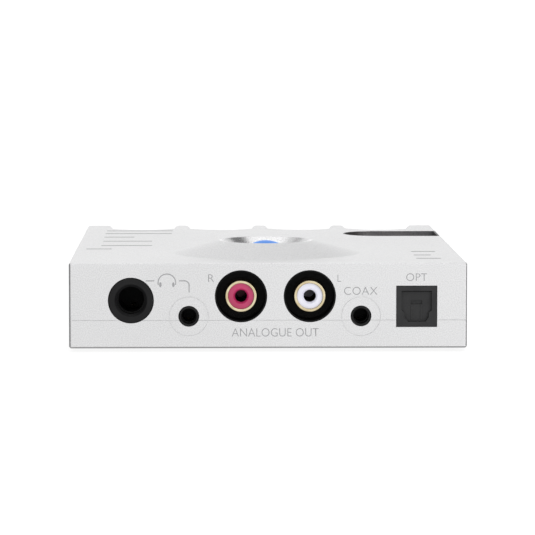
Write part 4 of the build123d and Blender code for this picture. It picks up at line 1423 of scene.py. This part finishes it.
@dataclass
class StatusWindow:
    """The domed window in the cone of the roof, with its trim ring."""

    ring_wall: float = 0.5 * MM
    ring_height: float = 0.42 * MM
    ring_gap: float = 0.06 * MM
    dome_radius: float = 7.0 * MM
    crater_depth: float = 3.1 * MM
    clear: ClearFinish = ClearFinish(
        name="clear_acrylic",
        tint=(0.9, 0.93, 0.96),
        roughness=0.08,
        transmission=0.85,
        glow=(0.2, 0.5, 1.0),
        glow_strength=0.12,
    )
    lamp: ClearFinish = ClearFinish(
        name="lamp_resin",
        tint=(0.92, 0.93, 0.82),
        roughness=0.2,
        transmission=0.3,
        glow=(0.35, 0.6, 1.0),
        glow_strength=1.2,
    )
    bright: MetalFinish = MetalFinish(
        name="turned_trim",
        tone=(0.82, 0.82, 0.83),
        shade=(0.68, 0.68, 0.69),
        roughness=0.2,
        mark_stretch=(2500.0, 2500.0, 9000.0),
        mark_depth=0.00001,
    )

    def trim_ring(self, centre: Vector, radius: float, seat: float) -> bpy.types.Object:
        """Turns the bright ring that frames the dome.

        Args:
            centre: A point on the dome's axis.
            radius: The radius of the dome's outline.
            seat: The height of the floor that the ring lies on.

        Returns:
            The finished ring.
        """
        middle = radius + self.ring_gap + self.ring_wall / 2
        deselect_everything()
        bpy.ops.mesh.primitive_plane_add(
            size=1.0,
            location=(middle, 0.0, seat + self.ring_height / 2),
            rotation=(math.pi / 2, 0.0, 0.0),
        )
        ring = name_new_piece("window_trim_ring")
        ring.scale = (self.ring_wall, self.ring_height, 1.0)
        settle(ring)
        bpy.ops.object.mode_set(mode="EDIT")
        bpy.ops.mesh.select_all(action="SELECT")
        bpy.ops.mesh.bevel(affect="VERTICES", offset=self.ring_wall * 0.3, segments=4)
        bpy.ops.mesh.select_all(action="SELECT")
        bpy.ops.mesh.spin(
            steps=128, angle=math.tau, center=(0.0, 0.0, 0.0), axis=(0.0, 0.0, 1.0)
        )
        bpy.ops.object.mode_set(mode="OBJECT")
        close_up(ring)
        ring.location = (centre.x, centre.y, 0.0)
        settle(ring)
        bpy.ops.object.shade_smooth_by_angle(angle=math.radians(35))
        return ring

    def build(self) -> None:
        """Dresses the dome and its lamps, and adds the trim ring."""
        low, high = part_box("window_lens")
        centre = Vector(((low.x + high.x) / 2, (low.y + high.y) / 2, high.z))
        radius = self.dome_radius
        dress_nodes(("window_lens",), lit_window_glass(centre, radius * 1.3))
        dress_nodes(("light_guide", "charge_light_pipe"), clear_moulding(self.clear))
        dress_nodes(("status_leds",), clear_moulding(self.lamp))
        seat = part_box("top_shell")[1].z - self.crater_depth
        ring = self.trim_ring(centre, radius, seat)
        dress(ring, worked_metal(self.bright))


@dataclass
class ControlBalls:
    """The rolling volume ball and the four ball buttons."""

    tone: Colour = (0.82, 0.84, 0.87)
    volume_heart: Colour = (0.9, 0.55, 0.2)
    button_heart: dict[str, Colour] = field(
        default_factory=lambda: {
            "filter_button": (0.9, 0.9, 0.95),
            "input_button": (0.25, 0.75, 0.35),
            "crossfeed_button": (0.55, 0.35, 0.85),
            "power_button": (0.85, 0.2, 0.15),
        }
    )

    def dress(self) -> None:
        """Gives every ball its milky plastic and the colour of its light."""
        volume_plastic = milky_ball("volume_ball_plastic", self.tone, self.volume_heart)
        dress_nodes(("volume_ball",), volume_plastic)
        for button, heart in self.button_heart.items():
            dress_nodes((button,), milky_ball(f"{button}_plastic", self.tone, heart))


@dataclass
class Sockets:
    """The sockets of both end faces."""

    contact_strips: int = 5
    nose_reach: float = 0.12
    strip_pitch: float = 0.65 * MM
    strip_width: float = 0.36 * MM
    strip_length: float = 2.4 * MM
    strip_height: float = 0.06 * MM
    black: PlasticFinish = PlasticFinish(
        name="black_moulding",
        tone=(0.009, 0.009, 0.0095),
        shade=(0.006, 0.006, 0.0065),
        roughness=0.42,
        grain_per_metre=5200.0,
        grain_depth=0.00002,
        specular=0.2,
    )
    # painted shade: a darker copy of the black moulding for the recessed RCA wells
    well: PlasticFinish = PlasticFinish(
        name="painted_shade_rca_moulding",
        tone=(0.006, 0.006, 0.0065),
        shade=(0.004, 0.004, 0.0045),
        roughness=0.5,
        grain_per_metre=4200.0,
        grain_depth=0.00001,
        specular=0.15,
    )
    grey: PlasticFinish = PlasticFinish(
        name="grey_socket_moulding",
        tone=(0.026, 0.026, 0.027),
        shade=(0.019, 0.019, 0.020),
        roughness=0.5,
        grain_per_metre=3400.0,
        grain_depth=0.00004,
        specular=0.3,
    )
    red: PlasticFinish = PlasticFinish(
        name="red_insulator_moulding",
        tone=(0.55, 0.028, 0.14),
        shade=(0.45, 0.020, 0.10),
        roughness=0.38,
        grain_per_metre=3000.0,
        grain_depth=0.00001,
        coat=0.3,
    )
    white: PlasticFinish = PlasticFinish(
        name="white_insulator_moulding",
        tone=(0.86, 0.86, 0.95),
        shade=(0.78, 0.78, 0.88),
        roughness=0.38,
        grain_per_metre=3000.0,
        grain_depth=0.00001,
        coat=0.3,
    )
    gilt: MetalFinish = MetalFinish(
        name="gilt_contact",
        tone=(0.72, 0.63, 0.43),
        shade=(0.54, 0.44, 0.26),
        roughness=0.2,
        mark_stretch=(2200.0, 9000.0, 2200.0),
        mark_depth=0.00001,
    )
    # painted shade: a darkened copy of the gilt for the contacts deep inside the
    # sockets, where shade falls
    shaded_gilt: MetalFinish = MetalFinish(
        name="shaded_gilt_contact",
        tone=(0.10, 0.08, 0.05),
        shade=(0.06, 0.045, 0.03),
        roughness=0.6,
        mark_stretch=(2200.0, 9000.0, 2200.0),
        mark_depth=0.00001,
    )
    brass: MetalFinish = MetalFinish(
        name="plain_brass",
        tone=(0.76, 0.62, 0.34),
        shade=(0.58, 0.44, 0.22),
        roughness=0.3,
        mark_stretch=(2200.0, 2200.0, 7000.0),
        mark_depth=0.00001,
    )

    def contact_strip(self, low: Vector, high: Vector) -> bpy.types.Object:
        """Shapes one gilt contact, with its nose bent into the tongue.

        Args:
            low: The lowest corner of the tongues.
            high: The highest corner of the tongues.

        Returns:
            The contact, at the origin.
        """
        deselect_everything()
        bpy.ops.mesh.primitive_cube_add(size=1.0, location=(0.0, 0.0, 0.0))
        strip = name_new_piece("usb_contact_strip_1")
        strip.scale = (self.strip_width, self.strip_length, self.strip_height)
        settle(strip)
        front = self.strip_length / 2
        choose_faces(strip, lambda centre, normal: normal.y > 0.9)
        bpy.ops.mesh.extrude_region_move(
            TRANSFORM_OT_translate={
                "value": (0.0, front * self.nose_reach, -self.strip_height * 0.5)
            }
        )
        bpy.ops.mesh.select_mode(type="EDGE")
        bpy.ops.mesh.select_all(action="SELECT")
        bpy.ops.mesh.bevel(affect="EDGES", offset=self.strip_height * 0.25, segments=2)
        bpy.ops.object.mode_set(mode="OBJECT")
        close_up(strip)
        strip.location = (
            low.x,
            high.y - self.strip_length * 0.75,
            high.z + self.strip_height / 2,
        )
        return strip

    def usb_contacts(self, gilt: bpy.types.Material) -> None:
        """Adds a row of gilt contacts to both micro sockets' tongues."""
        low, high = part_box("usb_tongues")
        first = self.contact_strip(low, high)
        home = first.location.copy()
        number = 0
        for middle in (low.x + 2.2 * MM, high.x - 2.2 * MM):
            for place in range(self.contact_strips):
                number += 1
                take_up(first)
                bpy.ops.object.duplicate(linked=False)
                strip = name_new_piece(f"usb_contact_{number}")
                offset = (place - (self.contact_strips - 1) / 2) * self.strip_pitch
                strip.location = (middle + offset, home.y, home.z)
                settle(strip)
                dress(strip, gilt)
        bpy.data.objects.remove(first)

    def dress(self) -> None:
        """Dresses the sockets and adds the contacts."""
        gilt = worked_metal(self.gilt)
        dress_nodes(
            (
                "large_jack_body",
                "large_jack_bush",
                "small_jack_body",
                "coax_jack_body",
                "usb_tongues",
                "volume_bracket",
                "volume_encoder_sensor",
                "button_switches",
                "battery_cradles",
                "window_retaining_ring",
            ),
            moulded_plastic(self.black),
        )
        dress_nodes(
            # the recessed housings get the darker copy, as painted shade
            ("rca_housing_right", "rca_housing_left"), moulded_plastic(self.well)
        )
        dress_nodes(
            ("optical_receiver_body", "optical_shutter"), moulded_plastic(self.grey)
        )
        dress_nodes(("rca_insulator_right",), moulded_plastic(self.red))
        dress_nodes(("rca_insulator_left",), moulded_plastic(self.white))
        dress_nodes(("rca_barrel_right", "rca_barrel_left"), gilt)
        dress_nodes(("board_standoffs",), worked_metal(self.brass))
        # the deep contacts get the darkened gilt, as painted shade
        dress_nodes(
            (
                "rca_centre_contacts",
                "large_jack_contacts",
                "small_jack_contacts",
                "coax_jack_contacts",
            ),
            worked_metal(self.shaded_gilt),
        )
        self.usb_contacts(gilt)


@dataclass
class Electronics:
    """The board, what stands on it, and the battery."""

    chip: PlasticFinish = PlasticFinish(
        name="chip_moulding",
        tone=(0.032, 0.032, 0.034),
        shade=(0.022, 0.022, 0.024),
        roughness=0.55,
        grain_per_metre=5000.0,
        grain_depth=0.00002,
    )
    wrap: PlasticFinish = PlasticFinish(
        name="cell_wrap_film",
        tone=(0.08, 0.17, 0.44),
        shade=(0.06, 0.13, 0.36),
        roughness=0.3,
        grain_per_metre=900.0,
        grain_depth=0.00002,
        coat=0.5,
    )
    can: MetalFinish = MetalFinish(
        name="drawn_can",
        tone=(0.76, 0.76, 0.78),
        shade=(0.62, 0.62, 0.64),
        roughness=0.28,
        mark_stretch=(5000.0, 5000.0, 900.0),
        mark_depth=0.00001,
    )
    pad: SoftFinish = SoftFinish(
        name="cell_foam",
        tone=(0.12, 0.12, 0.13),
        shade=(0.05, 0.05, 0.055),
        roughness=0.9,
        cells_per_metre=1500.0,
        cell_depth=0.0002,
    )

    def dress(self) -> None:
        """Dresses the board and all that it carries."""
        dress_nodes(("main_board",), solder_resist())
        dress_nodes(
            (
                "processor_chip",
                "memory_chips",
                "output_transistors",
                "optical_sensor",
                "volume_encoder_disc",
            ),
            moulded_plastic(self.chip),
        )
        dress_nodes(
            ("crystal_oscillators", "filter_capacitors"), worked_metal(self.can)
        )
        dress_nodes(("power_inductors",), wound_copper())
        dress_nodes(
            ("battery_cell_left", "battery_cell_right"), moulded_plastic(self.wrap)
        )
        dress_nodes(("battery_pads",), soft_moulding(self.pad))


@dataclass
class FrontMarks:
    """The plain printed labels of the sockets."""

    stroke_width: float = 0.26 * MM
    grey: InkFinish = InkFinish(
        name="grey_ink",
        tone=(0.30, 0.30, 0.31),
        shade=(0.42, 0.42, 0.43),
        roughness=0.6,
    )

    def headphones(self, marks: PrintedMarks) -> None:
        """Prints the headphone mark and the leaders to both of its sockets."""
        x, z, radius = -25.42 * MM, 17.55 * MM, 2.2 * MM
        width = self.stroke_width
        marks.arc("headphone_mark_band", (x, z), radius, width, -14.0, 208.0)
        for side in (-1, 1):
            marks.ellipse(
                f"headphone_mark_cup_{side + 2}",
                (x + side * 1.62 * MM, 17.05 * MM),
                (0.3 * MM, 0.62 * MM),
            )
        line = 18.03 * MM
        marks.stroke("leader_left", (-30.6 * MM, line), (-28.7 * MM, line), width)
        marks.stroke("leader_right", (-22.3 * MM, line), (-21.0 * MM, line), width)
        bend = 1.15 * MM
        marks.arc("leader_bend", (-21.0 * MM, line - bend), bend, width, 0.0, 90.0)
        marks.stroke(
            "leader_down", (-19.85 * MM, line - bend), (-19.85 * MM, 15.2 * MM), width
        )

    def build(self) -> None:
        """Prints every mark of the front face."""
        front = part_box("top_shell")[0].y
        ink = printed_ink(self.grey)
        marks = PrintedMarks(Face.FRONT, Vector((0.0, front, 0.0)), ink)
        self.headphones(marks)
        labels = (
            ("label_right", "R", (-15.05, 17.75), (-13.6, 19.63), 1.0),
            ("label_left", "L", (17.4, 17.75), (18.3, 19.5), 1.0),
            ("label_analogue_out", "ANALOGUE OUT", (-9.13, 3.95), (12.7, 6.03), 1.0),
            ("label_coaxial", "COAX", (19.05, 14.45), (27.4, 16.4), 1.05),
            ("label_optical", "OPT", (34.65, 17.9), (39.9, 19.8), 1.02),
        )
        for name, letters, low, high, spacing in labels:
            corner = (low[0] * MM, low[1] * MM)
            opposite = (high[0] * MM, high[1] * MM)
            marks.words(name, letters, corner, opposite, spacing)


@dataclass
class RoofOrnament:
    """Plain engraved-looking bars on the roof, long and short as on a level meter."""

    bar_width: float = 1.0 * MM
    roof_height: float = 22.5 * MM
    dark: InkFinish = InkFinish(
        name="dark_roof_ink",
        tone=(0.10, 0.10, 0.105),
        shade=(0.22, 0.22, 0.23),
        roughness=0.5,
    )

    def build(self) -> None:
        """Prints the level-meter bars on the left and the short ticks on the right."""
        roof = Vector((0.0, 0.0, self.roof_height))
        marks = PrintedMarks(Face.ROOF, roof, printed_ink(self.dark))
        bars = (
            (-43.5, -25.6, 44.0),
            (-43.5, -25.8, 33.4),
            (-43.4, -36.0, 20.6),
            (-43.3, -30.8, 6.0),
            (-43.3, -30.6, -9.2),
            (-46.9, -41.0, -20.4),
        )
        for number, (left, right, y) in enumerate(bars, start=1):
            start, end = (left * MM, y * MM), (right * MM, y * MM)
            marks.stroke(f"roof_bar_{number}", start, end, self.bar_width)
        ticks = ((38.5, 43.9, -30.4), (38.5, 42.0, -41.5), (38.5, 43.9, -51.8))
        for number, (left, right, y) in enumerate(ticks, start=1):
            start, end = (left * MM, y * MM), (right * MM, y * MM)
            marks.stroke(f"roof_tick_{number}", start, end, self.bar_width)


@dataclass
class RearMarks:
    """The plain printed marks of the rear face: a battery and a pair of arrows."""

    stroke_width: float = 0.26 * MM
    grey: InkFinish = InkFinish(
        name="rear_ink",
        tone=(0.30, 0.30, 0.31),
        shade=(0.42, 0.42, 0.43),
        roughness=0.6,
    )

    def battery(self, marks: PrintedMarks, x: float, z: float) -> None:
        """Prints a small battery outline centred on a point."""
        half_wide, half_tall = 1.9 * MM, 0.85 * MM
        corners = (
            (x - half_wide, z - half_tall),
            (x + half_wide, z - half_tall),
            (x + half_wide, z + half_tall),
            (x - half_wide, z + half_tall),
        )
        for number, start in enumerate(corners):
            end = corners[(number + 1) % 4]
            name = f"battery_mark_side_{number + 1}"
            marks.stroke(name, start, end, self.stroke_width)
        cap = x + half_wide + 0.45 * MM
        cap_low, cap_high = (cap, z - 0.3 * MM), (cap, z + 0.3 * MM)
        marks.stroke("battery_mark_cap", cap_low, cap_high, self.stroke_width)

    def arrows(self, marks: PrintedMarks, x: float, z: float) -> None:
        """Prints two opposite arrows centred on a point, for the data socket."""
        half, gap, barb = 1.8 * MM, 0.55 * MM, 0.6 * MM
        for number, way in enumerate((1, -1), start=1):
            level = z + way * gap
            tail, tip = (x - way * half, level), (x + way * half, level)
            marks.stroke(f"arrow_{number}_shaft", tail, tip, self.stroke_width)
            for part, rise in enumerate((1, -1), start=1):
                back = (tip[0] - way * barb, level + rise * barb * 0.7)
                name = f"arrow_{number}_barb_{part}"
                marks.stroke(name, back, tip, self.stroke_width)

    def build(self) -> None:
        """Prints the marks above the two micro sockets."""
        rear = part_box("base_tray")[1].y
        ink = printed_ink(self.grey)
        marks = PrintedMarks(Face.REAR, Vector((0.0, rear, 0.0)), ink)
        self.arrows(marks, 0.0, 4.6 * MM)
        self.battery(marks, -22.6 * MM, 4.6 * MM)


# ---- Studio -------------------------------------------------------------------------


@dataclass
class Studio:
    """A pale floor, a soft surround, two large lamps, two dark cards and the camera."""

    camera_place: tuple[float, float, float] = (-15.0 * MM, -836.5 * MM, 87.85 * MM)
    camera_aim: tuple[float, float, float] = (0.0192, 1.0, -0.0862)
    camera_lens: float = 207.9
    floor_size: float = 60.0
    front_lamp_place: tuple[float, float, float] = (0.62, -0.66, 0.26)
    top_lamp_place: tuple[float, float, float] = (0.0, 0.05, 1.4)
    right_card_place: tuple[float, float, float] = (0.41, 0.49, 0.77)
    left_card_place: tuple[float, float, float] = (-0.43, 0.61, 0.67)
    card_cloth: SoftFinish = SoftFinish(
        name="studio_card_cloth",
        tone=(0.10, 0.10, 0.10),
        shade=(0.07, 0.07, 0.07),
        roughness=0.9,
        cells_per_metre=300.0,
        cell_depth=0.0001,
    )
    surround_bright: float = 1.95
    surround_side: float = 0.4
    ground: Colour = (0.2, 0.2, 0.2)
    ceiling: Colour = (0.28, 0.28, 0.28)
    bands: tuple[tuple[float, float], ...] = (
        (0.36, 0.35),
        (0.46, 0.58),
        (0.54, 0.74),
        (0.66, 0.50),
        (0.82, 0.46),
        (0.93, 0.40),
    )

    def camera(self) -> None:
        """Sets up the long lens that looks at the socket face."""
        turn = Vector(self.camera_aim).to_track_quat("-Z", "Y").to_euler()
        bpy.ops.object.camera_add(location=self.camera_place, rotation=turn)
        camera = bpy.context.object
        camera.name = "product_camera"
        camera.data.sensor_width = 36.0
        camera.data.lens = self.camera_lens
        camera.data.clip_start = 0.01
        camera.data.clip_end = 200.0
        bpy.context.scene.camera = camera

    def floor(self) -> None:
        """Lays the pale floor."""
        deselect_everything()
        bpy.ops.mesh.primitive_plane_add(size=self.floor_size, location=(0.0, 0.0, 0.0))
        floor = name_new_piece("studio_floor")
        floor.data.materials.append(studio_floor_paint())
        floor.visible_glossy = False

    def lamp(
        self, name: str, place: tuple[float, float, float], size: float, power: float
    ) -> None:
        """Hangs a square lamp that faces the object.

        Args:
            name: The name of the lamp.
            place: Where it hangs, in metres.
            size: The side of the square.
            power: Its power in watts.
        """
        turn = (-Vector(place)).to_track_quat("-Z", "Y").to_euler()
        bpy.ops.object.light_add(type="AREA", location=place, rotation=turn)
        lamp = bpy.context.object
        lamp.name = name
        lamp.data.size = size
        lamp.data.energy = power

    def card(self, name: str, place: tuple[float, float, float], size: Point) -> None:
        """Stands a dark card that only reflections see, turned to face the object.

        Args:
            name: The name of the card.
            place: The middle of the card, in metres.
            size: Its width and its height, in metres.
        """
        turn = (-Vector(place)).to_track_quat("Z", "Y").to_euler()
        bpy.ops.mesh.primitive_plane_add(size=1.0, location=place, rotation=turn)
        card = name_new_piece(name)
        card.scale = (size[0], size[1], 1.0)
        card.data.materials.append(soft_moulding(self.card_cloth))
        card.visible_camera = False
        card.visible_diffuse = False
        card.visible_shadow = False

    def surround(self) -> None:
        """Wraps the scene in soft light, brightest at the horizon, dim to the sides."""
        world = bpy.data.worlds.new("soft_surround")
        bpy.context.scene.world = world
        world.use_nodes = True
        nodes, links = world.node_tree.nodes, world.node_tree.links
        nodes.clear()

        place = nodes.new("ShaderNodeTexCoord")
        place.label = "Direction of the light"
        place.location = (-1000, 0)

        axes = nodes.new("ShaderNodeSeparateXYZ")
        axes.label = "How far to the side and how high"
        axes.location = (-800, 0)

        height = nodes.new("ShaderNodeMapRange")
        height.label = "From straight down to straight up"
        height.location = (-600, 200)
        height.inputs["From Min"].default_value = -1.0

        sky = nodes.new("ShaderNodeValToRGB")
        sky.label = "Dark ground, pale horizon, dimmer wall and ceiling"
        sky.location = (-400, 200)
        sky.color_ramp.interpolation = "EASE"
        sky.color_ramp.elements[0].position = 0.0
        sky.color_ramp.elements[0].color = (*self.ground, 1.0)
        sky.color_ramp.elements[1].position = 1.0
        sky.color_ramp.elements[1].color = (*self.ceiling, 1.0)
        for position, level in self.bands:
            band = sky.color_ramp.elements.new(position)
            band.color = (level, level, level, 1.0)

        side = nodes.new("ShaderNodeMath")
        side.label = "Left and right alike"
        side.location = (-600, -100)
        side.operation = "ABSOLUTE"

        fall = nodes.new("ShaderNodeMapRange")
        fall.label = "Fall of light to the sides"
        fall.location = (-400, -100)
        fall.interpolation_type = "SMOOTHSTEP"
        fall.inputs["From Min"].default_value = 0.3
        fall.inputs["From Max"].default_value = 0.85
        fall.inputs["To Min"].default_value = self.surround_bright
        fall.inputs["To Max"].default_value = self.surround_side

        light = nodes.new("ShaderNodeBackground")
        light.label = "Soft white light"
        light.location = (-80, 0)

        output = nodes.new("ShaderNodeOutputWorld")
        output.label = "Surround"
        output.location = (140, 0)

        links.new(place.outputs["Generated"], axes.inputs["Vector"])
        links.new(axes.outputs["Z"], height.inputs["Value"])
        links.new(height.outputs["Result"], sky.inputs["Fac"])
        links.new(axes.outputs["X"], side.inputs[0])
        links.new(side.outputs["Value"], fall.inputs["Value"])
        links.new(sky.outputs["Color"], light.inputs["Color"])
        links.new(fall.outputs["Result"], light.inputs["Strength"])
        links.new(light.outputs["Background"], output.inputs["Surface"])

    def build(self) -> None:
        """Sets up the camera, the floor, the surround, the lamps and the cards."""
        bpy.context.scene.view_settings.view_transform = "Standard"
        self.camera()
        self.floor()
        self.surround()
        self.lamp("front_lamp", self.front_lamp_place, size=0.8, power=2.15)
        self.lamp("top_lamp", self.top_lamp_place, size=1.15, power=2.6)
        self.card("card_back_right", self.right_card_place, size=(0.5, 0.4))
        self.card("card_back_left", self.left_card_place, size=(0.16, 0.2))
        log.info("studio ready")


def main() -> None:
    """Builds the studio, dresses the carried-over nodes and adds the new pieces."""
    logging.basicConfig(level=logging.INFO, format="%(name)s: %(message)s")
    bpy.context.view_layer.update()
    Studio().build()
    OuterCase().dress()
    StatusWindow().build()
    ControlBalls().dress()
    Sockets().dress()
    Electronics().dress()
    FrontMarks().build()
    RoofOrnament().build()
    RearMarks().build()
    log.info("sizes written")


if __name__ == "__main__":
    main()
